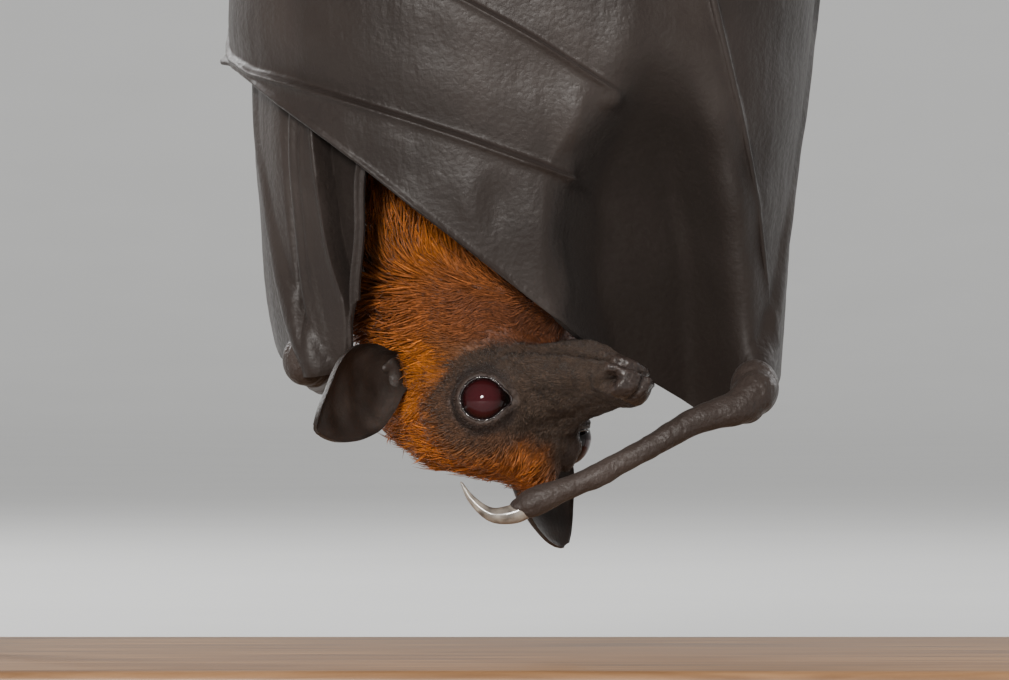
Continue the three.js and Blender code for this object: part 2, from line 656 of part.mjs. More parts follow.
// Each thumb and its claw bend at right angles to thumbAcross
const WINGS = {
  right: {
    side: 1, sheet: rightSheet, wrist: WRIST_RIGHT, forearmAngle: forearmRight,
    thumb: THUMB_RIGHT, thumbAcross: new THREE.Vector3(0, 1, 0),
  },
  left: {
    side: -1, sheet: leftSheet, wrist: WRIST_LEFT, forearmAngle: forearmLeft,
    thumb: THUMB_LEFT, thumbAcross: new THREE.Vector3(0, 0.59, 0.81),
  },
};
function thumbOf({ thumb, thumbAcross }, grow = 0) {
  return limb(thumb, { steps: 6, sides: 6, across: thumbAcross, grow });
}

// The left wing's free edge, hidden under the right wing, leans from one place across to another
const LEFT_EDGE = { lowX: 31.6, highX: 12, low: 104, high: 170 };
const leftEdgeX = (z) => THREE.MathUtils.lerp(
  LEFT_EDGE.lowX,
  LEFT_EDGE.highX,
  smooth(LEFT_EDGE.low, LEFT_EDGE.high, z),
);
const TIP_DROP = 26; // of the right wing's top margin towards its tip
const LEFT_TOP_DROP = 16;

// The membrane of the hand, from the forearm across the belly to the wing's tip
function handSheet(wing, grow = 0) {
  const towards = wing.side;
  const isRight = wing.side > 0;
  return membrane({
    sheet: wing.sheet,
    from: (z) => wing.forearmAngle(z) - towards * (edgeShift(z) + grow),
    to: isRight ? () => TIP_ANGLE : (z) => 360 - wrapAngle(leftEdgeX(z), z, true),
    low: (s, column) => marginHeight(column, isRight ? handMargin : leftHandMargin),
    top: (angle, s) => topMargin(angle) - (isRight ? TIP_DROP * smooth(0.75, 1, s) : LEFT_TOP_DROP),
    columns: isRight ? 20 : 5,
    rows: isRight ? 9 : 7,
    grow,
  });
}

const CHIN_GAP = 0.8; // the wing's edge is kept this clear of the head

function buildHand(name, bones, others) {
  const wing = WINGS[name];
  const whole = bones.reduce((left, bone) => left.add(bone), handSheet(wing));
  const body = [headSolid(CHIN_GAP), neckSolid(GAP), earSolid(1, GAP)];
  const around = [forearm(wing, GAP), thumbOf(wing, GAP), ...body, ...others];
  addPiece(`hand_membrane_${name}`, cut(whole, ...around), FINISH.membrane);
}

// The long hand bone, then the two finger bones across the belly, each between its joints
const FINGERS = [
  { places: [[46.4, 72], [46, 84], [43.5, 104], [35.6, 137], [30.5, 158]], radii: [2.2, 1.2, 1.3, 1.9, 2.2] },
  { places: [[8.4, 102.7], [-14, 110.5], [-36, 117.6], [-57, 124.4]], radii: [2.1, 1.2, 1.2, 2.1] },
  { places: [[16.6, 119.5], [1, 129], [-13.5, 137], [-34, 148]], radii: [2.1, 1.3, 1.3, 1.8] },
];
const fingerRidges = (grow = 0) => FINGERS.map(({ places, radii }) => ridge(places, radii, grow));

// The arm with its two membranes: one from the upper arm to the forearm, one from them to the body
function buildArm(name) {
  const wing = WINGS[name];
  const { side, sheet, wrist } = wing;
  const foreGrown = forearm(wing, GAP);
  const body = [trunkSolid(GAP), neckSolid(GAP)];
  addPiece(`forearm_${name}`, forearm(wing), FINISH.membrane);
  addPiece(`upper_arm_${name}`, cut(upperArm(wing), foreGrown, ...body), FINISH.back);

  const turned = (angle) => (side > 0 ? angle : angle - 360);
  const arm = membrane({
    sheet,
    from: (z) => turned(rootAngle(z, side)),
    to: (z) => turned(wing.forearmAngle(z)) + side * edgeShift(z),
    low: (s) => THREE.MathUtils.lerp(SHOULDER.z - 8, wrist.z - 2, smooth(0, 1, s)),
    top: topMargin,
    columns: 6,
    rows: 8,
  });
  const around = [
    ...body, legSolid(side, GAP), foreGrown, upperArm(wing, GAP), thumbOf(wing, GAP), handSheet(wing, GAP),
  ];
  const pieces = around.reduce((left, other) => left.subtract(other), arm).decompose();
  const [large, small] = pieces.sort((a, b) => b.volume() - a.volume());
  addPiece(`arm_membrane_${name}`, large, FINISH.membrane);
  addPiece(`fore_membrane_${name}`, small, FINISH.membrane);
}

function buildThumb(name, claw, radius) {
  const wing = WINGS[name];
  const clawOf = (grow) => hook(claw, radius, { grow, across: wing.thumbAcross });
  addPiece(`thumb_claw_${name}`, clawOf(0), FINISH.claw);
  const thumb = cut(thumbOf(wing), clawOf(GAP), forearm(wing, GAP), headSolid(GAP));
  addPiece(`thumb_${name}`, thumb, FINISH.membrane);
}

buildStand();
buildHead();
buildBody();
for (const name of ['left', 'right']) buildArm(name);
buildHand('right', fingerRidges(), []);
buildHand('left', [], [handSheet(WINGS.right, GAP), ...fingerRidges(GAP)]);
buildThumb('right', THUMB_CLAW_RIGHT, 1.9);
buildThumb('left', THUMB_CLAW_LEFT, 1.8);

export default bat;
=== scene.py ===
import math

import bmesh
import bpy
import numpy as np
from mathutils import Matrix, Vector
from mathutils.bvhtree import BVHTree
from mathutils.kdtree import KDTree


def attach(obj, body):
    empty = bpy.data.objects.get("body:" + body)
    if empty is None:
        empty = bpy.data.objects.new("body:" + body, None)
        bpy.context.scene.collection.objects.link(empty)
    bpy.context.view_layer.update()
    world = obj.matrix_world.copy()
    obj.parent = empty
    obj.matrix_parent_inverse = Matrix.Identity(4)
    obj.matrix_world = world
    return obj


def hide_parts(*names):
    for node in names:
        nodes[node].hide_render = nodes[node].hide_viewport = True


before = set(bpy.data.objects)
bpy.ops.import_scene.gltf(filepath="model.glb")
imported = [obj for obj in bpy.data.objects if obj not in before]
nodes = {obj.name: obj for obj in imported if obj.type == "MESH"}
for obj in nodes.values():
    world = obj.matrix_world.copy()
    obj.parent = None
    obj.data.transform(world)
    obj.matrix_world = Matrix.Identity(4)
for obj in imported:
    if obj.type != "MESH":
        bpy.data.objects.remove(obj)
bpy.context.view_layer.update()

MM = 0.001


# --- small helpers ---------------------------------------------------------------------------

def clear_selection():
    if bpy.context.mode != "OBJECT":
        bpy.ops.object.mode_set(mode="OBJECT")
    bpy.ops.object.select_all(action="DESELECT")


def take(*pieces):
    """Selects these pieces alone, the last one active."""
    clear_selection()
    for piece in pieces:
        piece.select_set(True)
    bpy.context.view_layer.objects.active = pieces[-1]
    return pieces[-1]


def settle(piece):
    """Puts the piece's place into its mesh."""
    take(piece)
    bpy.ops.object.transform_apply(location=True, rotation=True, scale=True)
    return piece


def apply_modifier(piece, kind, **values):
    take(piece)
    modifier = piece.modifiers.new(kind.lower(), kind)
    for key, value in values.items():
        setattr(modifier, key, value)
    bpy.ops.object.modifier_apply(modifier=modifier.name)


def finish_piece(piece, name, material, replaces=(), angle=40):
    piece.name = name
    piece.data.name = name
    piece.data.materials.clear()
    piece.data.materials.append(material)
    take(piece)
    bpy.ops.object.shade_smooth_by_angle(angle=math.radians(angle))
    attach(piece, "root")
    if replaces:
        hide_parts(*replaces)
    return piece


def places_of(mesh):
    flat = np.empty(len(mesh.vertices) * 3)
    mesh.vertices.foreach_get("co", flat)
    return flat.reshape(-1, 3)


def normals_of(mesh):
    flat = np.empty(len(mesh.vertices) * 3)
    mesh.vertex_normals.foreach_get("vector", flat)
    return flat.reshape(-1, 3)


def set_places(mesh, places):
    mesh.vertices.foreach_set("co", np.asarray(places, float).ravel())
    mesh.update()


def linked(name, mesh):
    piece = bpy.data.objects.new(name, mesh)
    bpy.context.scene.collection.objects.link(piece)
    return piece


def mesh_piece(name, places, faces):
    mesh = bpy.data.meshes.new(name)
    mesh.from_pydata(places.tolist(), [], faces)
    mesh.update()
    return linked(name, mesh)


def face_outwards(piece):
    """Turns every face of a closed piece outwards."""
    take(piece)
    bpy.ops.object.mode_set(mode="EDIT")
    bpy.ops.mesh.select_all(action="SELECT")
    bpy.ops.mesh.normals_make_consistent(inside=False)
    bpy.ops.object.mode_set(mode="OBJECT")
    return piece


def mark(piece, name, values):
    """Gives each place of a piece a number that its finish reads."""
    layer = piece.data.attributes.new(name, "FLOAT", "POINT")
    layer.data.foreach_set("value", values)


def ring_quads(rows, sides):
    """Four-sided faces between the rows of a grid that closes on itself across."""
    index = np.arange(rows * sides).reshape(rows, sides)
    after = np.roll(index, -1, axis=1)
    return np.stack([index[:-1], after[:-1], after[1:], index[1:]], -1).reshape(-1, 4)


def smoothstep(low, high, value):
    share = np.clip((value - low) / (high - low), 0, 1)
    return share * share * (3 - 2 * share)


def bell(value, width):
    """1 where the value is 0, and less and less on both sides."""
    return np.exp(-((value / width) ** 2))


def unit(vectors):
    return vectors / np.maximum(np.linalg.norm(vectors, axis=-1, keepdims=True), 1e-12)


def curve_through(xs, ys):
    """A smooth curve through a table's rows, read at any place."""
    xs, ys = np.array(xs, float), np.array(ys, float)
    before = np.maximum(np.arange(len(xs)) - 1, 0)
    after = np.minimum(np.arange(len(xs)) + 1, len(xs) - 1)
    slopes = (ys[after] - ys[before]) / (xs[after] - xs[before])

    def read(where):
        where = np.clip(np.asarray(where, float), xs[0], xs[-1])
        i = np.clip(np.searchsorted(xs, where, side="right") - 1, 0, len(xs) - 2)
        step = xs[i + 1] - xs[i]
        t = (where - xs[i]) / step
        return ((2 * t**3 - 3 * t**2 + 1) * ys[i] + (t**3 - 2 * t**2 + t) * slopes[i] * step
                + (-2 * t**3 + 3 * t**2) * ys[i + 1] + (t**3 - t**2) * slopes[i + 1] * step)

    return read


# --- camera, floor and light -------------------------------------------------------------------

RENDER_WIDE, PIXEL_MM = 1009, 1 / 5.2  # pixels across the render, and the width of one at the belly
VIEW_DISTANCE = 1450  # from the belly to the camera
VIEW_X, BELLY_Y, VIEW_Z = -3.94, -30, 71.4
SENSOR = 36


def place_camera():
    bpy.ops.object.camera_add(
        location=(VIEW_X * MM, (BELLY_Y - VIEW_DISTANCE) * MM, VIEW_Z * MM),
        rotation=(math.radians(90), 0, 0),
    )
    camera = bpy.context.object
    camera.name = "camera"
    camera.data.sensor_width = SENSOR
    camera.data.lens = SENSOR * VIEW_DISTANCE / (RENDER_WIDE * PIXEL_MM)
    camera.data.clip_start = 0.02
    camera.data.clip_end = 40
    bpy.context.scene.camera = camera


def area_light(name, place, target, size, power, tint=(1, 1, 1)):
    bpy.ops.object.light_add(type="AREA", location=place)
    light = bpy.context.object
    light.name = name
    light.data.shape = "DISK"
    light.data.size = size
    light.data.energy = power
    light.data.color = tint
    aim = Vector(target) - Vector(place)
    light.rotation_euler = aim.to_track_quat("-Z", "Y").to_euler()
    return light


class Finish:
    """A material in the making. Its calls add a node, set or wire its inputs and hand back its output."""

    def __init__(self, name):
        self.material = bpy.data.materials.new(name)
        self.material.use_nodes = True
        tree = self.material.node_tree
        self.made, self.links = tree.nodes, tree.links
        self.where = self.node("TexCoord", "Object")

    def feed(self, node, inputs):
        for name, value in inputs.items():
            if isinstance(value, bpy.types.NodeSocket):
                self.links.new(value, node.inputs[name])
            else:
                node.inputs[name].default_value = value

    def node(self, kind, output, inputs=None, **settings):
        node = self.made.new("ShaderNode" + kind)
        for name, value in settings.items():
            setattr(node, name, value)
        self.feed(node, inputs or {})
        return node.outputs[output]

    def attribute(self, name, output="Fac"):
        return self.node("Attribute", output, attribute_name=name)

    def stretched(self, scale):
        return self.node("Mapping", "Vector", {"Vector": self.where, "Scale": scale})

    def noise(self, scale, detail=2, where=None, distortion=0):
        inputs = {"Vector": where or self.where, "Scale": scale, "Detail": detail, "Distortion": distortion}
        return self.node("TexNoise", "Fac", inputs)

    def ramp(self, value, stops):
        """Colours along a value: stops of (place, (red, green, blue))."""
        colour = self.node("ValToRGB", "Color", {"Fac": value})
        steps = colour.node.color_ramp.elements
        while len(steps) < len(stops):
            steps.new(0.5)
        for step, (place, tone) in zip(steps, stops):
            step.position = place
            step.color = (*tone, 1)
        return colour

    def mixed(self, first, second, share, how="MIX"):
        inputs = {"A": first, "B": second, "Factor": share}
        return self.node("Mix", "Result", inputs, data_type="RGBA", blend_type=how)

    def spread(self, value, low, high):
        return self.node("MapRange", "Result", {"Value": value, "To Min": low, "To Max": high})

    def times_plus(self, value, factor, added):
        return self.node("Math", 0, {0: value, 1: factor, 2: added}, operation="MULTIPLY_ADD")

    def bump(self, height, strength, distance):
        return self.node("Bump", "Normal", {"Height": height, "Strength": strength, "Distance": distance})

    def finished(self, **inputs):
        """Wires the shader's inputs, named with _ for a space, and hands back the material."""
        self.feed(self.made["Principled BSDF"], {name.replace("_", " "): v for name, v in inputs.items()})
        return self.material


FLOOR_FLAT, BOWL_BEND, BOWL_TURN = 4.2, 3.4, 62  # a flat floor that curves up all round, far off
FLOOR_RINGS, FLOOR_SIDES = (0.3, 1, 2, 3), 120


def build_studio():
    """A pale round floor that curves up far away on every side, and soft lights."""
    look = Finish("studio_floor")
    tone = look.mixed((0.62, 0.62, 0.61, 1), (0.66, 0.66, 0.65, 1), look.noise(9))
    turn = np.radians(np.linspace(0, BOWL_TURN, 40))
    reach = np.concatenate([FLOOR_RINGS, FLOOR_FLAT + BOWL_BEND * np.sin(turn)])
    height = np.concatenate([np.zeros(len(FLOOR_RINGS)), BOWL_BEND - BOWL_BEND * np.cos(turn)])
    way = np.radians(np.arange(0, 360, 360 // FLOOR_SIDES))
    rings = np.stack([reach[:, None] * np.cos(way), reach[:, None] * np.sin(way),
                      np.broadcast_to(height[:, None], (len(reach), FLOOR_SIDES))], -1)
    floor = mesh_piece("floor", rings.reshape(-1, 3), ring_quads(len(reach), FLOOR_SIDES).tolist())
    bowl = bmesh.new()
    bowl.from_mesh(floor.data)
    bowl.verts.ensure_lookup_table()
    bowl.faces.new([bowl.verts[i] for i in range(FLOOR_SIDES)])
    bmesh.ops.recalc_face_normals(bowl, faces=bowl.faces)
    bowl.to_mesh(floor.data)
    bowl.free()
    floor.data.materials.append(look.finished(Base_Color=tone, Roughness=0.8))
    floor.data.polygons.foreach_set("use_smooth", [True] * len(floor.data.polygons))

    world = bpy.data.worlds.new("studio")
    world.use_nodes = True
    sky = world.node_tree.nodes["Background"]
    sky.inputs["Color"].default_value = (0.86, 0.86, 0.86, 1)
    sky.inputs["Strength"].default_value = 0.38
    bpy.context.scene.world = world
    area_light("key", (-0.28, -1.3, 0.42), (0, -0.03, 0.10), 0.22, 20, (1, 0.97, 0.93))
    area_light("fill", (1.5, -0.3, 0.8), (0, 0, 0.13), 0.9, 3.5).visible_glossy = False
    bpy.ops.object.light_add(type="SUN", rotation=(math.radians(42), 0, math.radians(-12)))
    wash = bpy.context.object
    wash.name = "sky_wash"
    wash.data.energy = 1.7
    wash.data.angle = math.radians(60)
    wash.visible_glossy = False
    area_light("rim", (-0.8, 0.9, 0.8), (0, 0, 0.18), 0.6, 14)
    area_light("rim_right", (0.9, 0.8, 0.6), (0, 0, 0.18), 0.6, 6)


clear_selection()
place_camera()
build_studio()

# --- shaping tools -----------------------------------------------------------------------------

def tube(name, stations, sides, steps, across=(1, 0, 0), wobble=None):
    """A tapering body along stations (x, y, z, width, depth), with round ends, in millimetres."""
    rows = np.array([list(s) + [s[3]] * (5 - len(s)) for s in stations], float)
    spans = np.sqrt(np.linalg.norm(np.diff(rows[:, :3], axis=0), axis=1))
    knots = np.concatenate([[0], np.cumsum(spans)])
    read = [curve_through(knots, rows[:, k]) for k in range(5)]
    t = np.linspace(0, knots[-1], steps + 1)
    centre = np.stack([read[k](t) for k in range(3)], -1)
    along = unit(np.gradient(centre, axis=0))
    side = unit(np.array(across, float) - along * (along @ np.array(across, float))[:, None])
    up = np.cross(along, side)
    turn = np.linspace(0, 2 * math.pi, sides, endpoint=False)
    ring = side[:, None] * np.cos(turn)[None, :, None] * read[3](t)[:, None, None]
    ring = ring + up[:, None] * np.sin(turn)[None, :, None] * read[4](t)[:, None, None]
    places = centre[:, None] + ring
    if wobble is not None:
        places = places + unit(ring) * wobble(places)[..., None]
    caps = []
    for end, sign in ((0, -1), (-1, 1)):
        for lift in (0.5, 0.8, 0.95):
            shrink = math.sqrt(1 - lift**2)
            radius = min(read[3](t[end]), read[4](t[end]))
            caps.append((end, centre[end] + (places[end] - centre[end]) * shrink
                         + along[end] * sign * lift * radius))
    first = [c for e, c in caps if e == 0][::-1]
    last = [c for e, c in caps if e == -1]
    grid = np.concatenate([np.array(first), places, np.array(last)])
    hubs = np.array([grid[0].mean(0), grid[-1].mean(0)])
    every = np.concatenate([grid.reshape(-1, 3), hubs]) * MM
    total, last_row = grid.shape[0] * sides, (grid.shape[0] - 1) * sides
    fans = [((a + 1) % sides, a, total) for a in range(sides)]
    fans += [(last_row + a, last_row + (a + 1) % sides, total + 1) for a in range(sides)]
    return face_outwards(mesh_piece(name, every, ring_quads(grid.shape[0], sides).tolist() + fans))


def joined(*pieces):
    take(*pieces)
    bpy.ops.object.join()
    return bpy.context.object


def copy_of(node_name):
    """A loose copy of a frame node, welded, to be shaped further."""
    copy = take(linked(node_name + "_copy", nodes[node_name].data.copy()))
    bpy.ops.object.mode_set(mode="EDIT")
    bpy.ops.mesh.select_all(action="SELECT")
    bpy.ops.mesh.remove_doubles(threshold=0.00001)
    bpy.ops.object.mode_set(mode="OBJECT")
    return copy


def ball(place, radius, squash=(1, 1, 1)):
    bpy.ops.mesh.primitive_uv_sphere_add(
        segments=24, ring_count=16, radius=radius * MM, location=[c * MM for c in place], scale=squash)
    return settle(bpy.context.object)


def remeshed(piece, voxel, smoothing, factor=0.5):
    apply_modifier(piece, "REMESH", mode="VOXEL", voxel_size=voxel * MM)
    apply_modifier(piece, "SMOOTH", factor=factor, iterations=smoothing)
    return piece


# --- stand and perch ---------------------------------------------------------------------------

BASE = (252, 164, 10)
BASE_CORNER = 14
ROD_X, ROD_RADIUS, ROD_SUNK = 113, 3.6, 6
COLLAR_WALL, COLLAR_HIGH = 3.4, 3
PERCH_Y, PERCH_Z, PERCH_RADIUS, PERCH_LENGTH = 2, 315, 9, 238


def round_edges(piece, offset, segments, test):
    """Rounds the edges whose two ends pass the test."""
    take(piece)
    bpy.ops.object.mode_set(mode="EDIT")
    bpy.ops.mesh.select_mode(type="EDGE")
    bpy.ops.mesh.select_all(action="DESELECT")
    shape = bmesh.from_edit_mesh(piece.data)
    for edge in shape.edges:
        edge.select_set(test(*[v.co.z / MM for v in edge.verts]))
    bmesh.update_edit_mesh(piece.data)
    bpy.ops.mesh.bevel(offset=offset * MM, segments=segments, affect="EDGES")
    bpy.ops.object.mode_set(mode="OBJECT")


def wood_finish():
    look = Finish("oiled_wood")
    ring = look.noise(190, 7, look.stretched((0.09, 1, 1)), 0.6)
    tone = look.ramp(ring, [(0.3, (0.13, 0.062, 0.026)), (0.5, (0.24, 0.125, 0.056)),
                            (0.72, (0.36, 0.20, 0.095))])
    return look.finished(Base_Color=tone, Roughness=look.spread(ring, 0.28, 0.5),
                         Normal=look.bump(ring, 0.18, 0.0006))


def steel_finish():
    look = Finish("brushed_steel")
    scratch = look.noise(4200, 3, look.stretched((0.2, 0.2, 1)))
    tone = look.ramp(scratch, [(0.35, (0.42, 0.42, 0.43)), (0.65, (0.62, 0.62, 0.63))])
    return look.finished(Base_Color=tone, Roughness=look.spread(scratch, 0.22, 0.42), Metallic=1.0)


def bark_finish():
    look = Finish("bark")
    along = look.stretched((0.3, 1, 1))
    crack = look.node("TexVoronoi", "Distance", {"Vector": along, "Scale": 330}, feature="DISTANCE_TO_EDGE")
    fibre = look.noise(260, 8, along)
    tone = look.ramp(fibre, [(0.25, (0.035, 0.022, 0.014)), (0.5, (0.11, 0.075, 0.048)),
                             (0.75, (0.21, 0.155, 0.105))])
    lichen = look.node("MapRange", "Result", {"Value": look.noise(45), "From Min": 0.58, "From Max": 0.72,
                                              "To Max": 0.55})
    tone = look.mixed(tone, (0.2, 0.2, 0.15, 1), lichen)
    cracks = look.ramp(crack, [(0.0, (0.5, 0.46, 0.43)), (0.09, (1.0, 1.0, 1.0))])
    return look.finished(Base_Color=look.mixed(tone, cracks, 1, "MULTIPLY"), Roughness=0.85,
                         Normal=look.bump(look.times_plus(crack, 2.5, fibre), 0.7, 0.0008))


def upright(x, radius, foot, height):
    """A cylinder that stands on a height, under the perch."""
    bpy.ops.mesh.primitive_cylinder_add(
        vertices=48, radius=radius * MM, depth=height * MM,
        location=(x * MM, PERCH_Y * MM, (foot + height / 2) * MM))
    return settle(bpy.context.object)


def build_stand():
    wide, deep, thick = BASE
    bpy.ops.mesh.primitive_cube_add(size=1, location=(0, 0, thick * MM / 2),
                                    scale=(wide * MM, deep * MM, thick * MM))
    base = settle(bpy.context.object)
    round_edges(base, BASE_CORNER, 12, lambda a, b: abs(a - b) > thick / 2)
    round_edges(base, 2.2, 5, lambda a, b: min(a, b) > thick - 0.01)
    round_edges(base, 0.6, 2, lambda a, b: max(a, b) < 0.01)
    finish_piece(base, "stand_base_wood", wood_finish(), ("stand_base",), 35)

    steel = steel_finish()
    rod_top = PERCH_Z - PERCH_RADIUS + ROD_SUNK
    for side, name in ((-1, "left"), (1, "right")):
        rod, collar = [upright(side * ROD_X, radius, thick, height) for radius, height in (
            (ROD_RADIUS, rod_top - thick), (ROD_RADIUS + COLLAR_WALL, COLLAR_HIGH))]
        round_edges(collar, 1, 4, lambda a, b: min(a, b) > thick + COLLAR_HIGH - 0.1)
        finish_piece(joined(collar, rod), f"stand_rod_{name}_steel", steel,
                     (f"stand_rod_{name}",), 35)


def build_perch():
    def bark(places):
        return (0.5 * ripple(places, 9, 31, (0.25, 1, 1)) + 0.28 * ripple(places, 4, 32, (0.3, 1, 1))
                + 0.35 * ripple(places, 30, 33))

    half = PERCH_LENGTH / 2 - 3
    stations = []
    for share in np.linspace(0, 1, 9):
        swell = 1 + 0.035 * math.cos(share * 9)
        stations.append(((share - 0.5) * 2 * half, PERCH_Y, PERCH_Z, (PERCH_RADIUS - 0.5) * swell))
    branch = tube("branch", stations, 72, 190, across=(0, 1, 0), wobble=bark)
    twig = tube("twig", [(71, PERCH_Y, PERCH_Z + 2, 4.8), (75, PERCH_Y - 0.6, PERCH_Z + 8, 3.8),
                         (78, PERCH_Y - 1.4, PERCH_Z + 14, 3.2), (80, PERCH_Y - 2, PERCH_Z + 18.5, 2.8)],
                36, 36, wobble=lambda p: 0.25 * ripple(p, 5, 34))
    knot = ball((71, PERCH_Y, PERCH_Z + 4), 6.6, (1.25, 0.95, 0.8))
    branch = remeshed(joined(knot, twig, branch), 0.9, 2, 0.3)
    finish_piece(branch, "perch_branch", bark_finish(), ("perch",), 60)


# --- shape of the wrapped wings, in millimetres --------------------------------------------------

WRAP_POWER = 2.4
WRAP_Z = (54, 66, 82, 98, 124, 155, 190, 214, 238, 262, 290)
wrap_left = curve_through(WRAP_Z, (-48, -51.2, -54, -55.2, -57.4, -58.6, -60, -54, -40, -25.6, -18.4))
wrap_right = curve_through(WRAP_Z, (49.5, 50.4, 51.4, 52.6, 55.4, 58.4, 61, 54.5, 40.5, 25.6, 18.4))
wrap_front = curve_through(WRAP_Z, (-34, -38, -43, -46.5, -49, -49, -44, -37, -24, -9.5, -2.5))
wrap_back = curve_through(WRAP_Z, (22, 25, 28, 30, 31.5, 32, 31.5, 29.5, 26.5, 23.5, 20.5))
hand_bone_x = curve_through((62, 82, 104, 137, 160), (47.6, 46.6, 43.5, 35.6, 30.5))
fold_x = curve_through((60, 72, 82, 103, 120, 140), (12, 9, 6.4, 7.2, 15.4, 20))
root_x = curve_through((84, 104, 150, 200, 222, 243, 275), (17, 19, 21, 18, 19, 23, 18))
HOLLOW_DEPTH = 17
INNER_LAYER, COVERED_LAYER = -3.2, -1.6
ELBOW_Z, ELBOW_ANGLE = 196, 68
SIDE_ANGLE, TIP_ANGLE = 262.0, 305.0  # where the right wing leaves the front, and its tip
FOREARM_RADII = (5, 3.6, 3.1, 3.4, 4.4, 4.9, 4.6)
ARM_DEPTH = 2.4
WING_THICK = 0.8


def bow(value):
    return np.sign(value) * np.abs(value) ** (2 / WRAP_POWER)


def wrap_point(angle, z, layer=0.0):
    """Angles run from the back (0) over the right side (90) and the front (180) to the left (270)."""
    middle = (wrap_left(z) + wrap_right(z)) / 2
    reach_x = (wrap_right(z) - wrap_left(z)) / 2 + layer
    backwards = np.cos(np.radians(angle))
    reach_y = np.where(backwards < 0, -wrap_front(z), wrap_back(z)) + layer
    x = middle + reach_x * bow(np.sin(np.radians(angle)))
    return np.stack(np.broadcast_arrays(x, reach_y * bow(backwards), z), axis=-1)


def wrap_angle(x, z, on_front):
    middle = (wrap_left(z) + wrap_right(z)) / 2
    share = np.clip((x - middle) * 2 / (wrap_right(z) - wrap_left(z)), -1, 1)
    turn = np.degrees(np.arcsin(np.sign(share) * np.abs(share) ** (WRAP_POWER / 2)))
    return 180 - turn if on_front else (turn + 360) % 360


def right_sheet(angle, z, layer=0.0):
    place = wrap_point(angle, z, layer)
    fold, bone = fold_x(z), hand_bone_x(z)
    x = place[..., 0]
    across = smoothstep(fold - 3, fold + 9, x) * (1 - smoothstep(bone - 17, bone - 2, x))
    sunk = HOLLOW_DEPTH * across * (1 - smoothstep(98, 132, z))
    place[..., 1] += np.where((angle > 100) & (angle < 250), sunk, 0)
    return place


def left_sheet(turn, z, layer=0.0):
    """The left wing's angles run the other way round, so that both wings read alike."""
    return wrap_point(360 - turn, z, INNER_LAYER + COVERED_LAYER * smoothstep(104, 128, z) + layer)


def forearm_angle(start, wrist_z):
    def read(z):
        share = np.clip((z - wrist_z) / (ELBOW_Z - wrist_z), 0, 1)
        return start + (ELBOW_ANGLE - start) * share**0.8
    return read


WRIST_RIGHT_Z, WRIST_LEFT_Z = 62.5, 66.5
forearm_right = forearm_angle(wrap_angle(44.6, WRIST_RIGHT_Z, True), WRIST_RIGHT_Z)
forearm_left = forearm_angle(360 - wrap_angle(-42.6, WRIST_LEFT_Z, True), WRIST_LEFT_Z)


def ripple(places, size, seed, stretch=(1, 1, 1)):
    """Soft uneven waves about `size` across, between -1 and 1."""
    dice = np.random.default_rng(seed)
    total = np.zeros(places.shape[:-1])
    for _ in range(9):
        way = unit(dice.normal(size=3)) * np.array(stretch)
        total += np.sin(places @ way * (2 * math.pi / size) * dice.uniform(0.7, 1.5) + dice.uniform(0, 7))
    return total / 4.5


def along_line(places, line, radii):
    """For each stretch of a line of places, how far off it the places are, and its radius there."""
    for a, b, radius_a, radius_b in zip(line[:-1], line[1:], radii[:-1], radii[1:]):
        along = b - a
        share = np.clip(((places - a) @ along) / (along @ along), 0, 1)
        gap = np.linalg.norm(places - (a + share[..., None] * along), axis=-1)
        yield gap, radius_a + (radius_b - radius_a) * share


def ridge_line(places, line, radii):
    """How high a bone stands out of the sheet: a line of places, and its radii along it."""
    best = np.full(places.shape[:-1], 1e9)
    size = np.zeros(places.shape[:-1])
    for gap, radius in along_line(places, line, radii):
        size = np.where(gap < best, radius, size)
        best = np.minimum(best, gap)
    return size * bell(best, 0.95 * size)


def solve_height(column, margin, low=50.0, high=240.0):
    """The height at which each column of the sheet crosses a margin."""
    low, high = np.full(column.size, low), np.full(column.size, high)
    for _ in range(26):
        middle = (low + high) / 2
        under = middle < margin(column, middle)
        low, high = np.where(under, middle, low), np.where(under, high, middle)
    return (low + high) / 2


def shares(count):
    return np.arange(count) / count


class Columns:
    """Columns of a wing's grid: so many between each two key lines, and one on the last line."""

    def __init__(self, keys, counts):
        self.keys = keys
        self.key = np.append(np.repeat(np.arange(len(counts)), counts), len(counts) - 1)
        self.share = np.append(np.concatenate([shares(count) for count in counts]), 1.0)
        self.column = np.arange(len(self.key))

    def angle(self, index, z):
        index, z = np.broadcast_arrays(index, np.asarray(z, float))
        key, share = self.key[index], self.share[index]
        values = np.stack([read(z) for read in self.keys])
        grid = np.indices(z.shape)
        return values[(key, *grid)] * (1 - share) + values[(key + 1, *grid)] * share


def mm_per_degree(sheet, angle, z):
    return np.maximum(np.linalg.norm(sheet(angle + 0.5, z) - sheet(angle - 0.5, z), axis=-1), 0.25)


def shell_piece(name, outer, inner):
    """A thin closed shell between two grids of places."""
    rows, columns = outer.shape[:2]
    count = rows * columns
    index = np.arange(count).reshape(rows, columns)
    quads = np.stack([index[:-1, :-1], index[:-1, 1:], index[1:, 1:], index[1:, :-1]], -1).reshape(-1, 4)
    border = np.concatenate([index[0, :-1], index[:-1, -1], index[-1, :0:-1], index[:0:-1, 0]])
    following = np.roll(border, -1)
    rim = np.stack([border, border + count, following + count, following], -1)
    faces = np.concatenate([quads, quads[:, ::-1] + count, rim])
    places = np.concatenate([outer.reshape(-1, 3), inner.reshape(-1, 3)]) * MM
    return face_outwards(mesh_piece(name, places, faces.tolist()))


def face_out(places):
    """Which way the sheet faces at each place of a grid, away from the body."""
    down = np.gradient(places, axis=0)
    across = np.gradient(places, axis=1)
    facing = unit(np.cross(across, down))
    away = places - np.array([0, 4, 0])
    away[..., 2] = 0
    return facing * np.sign(np.sum(facing * away))


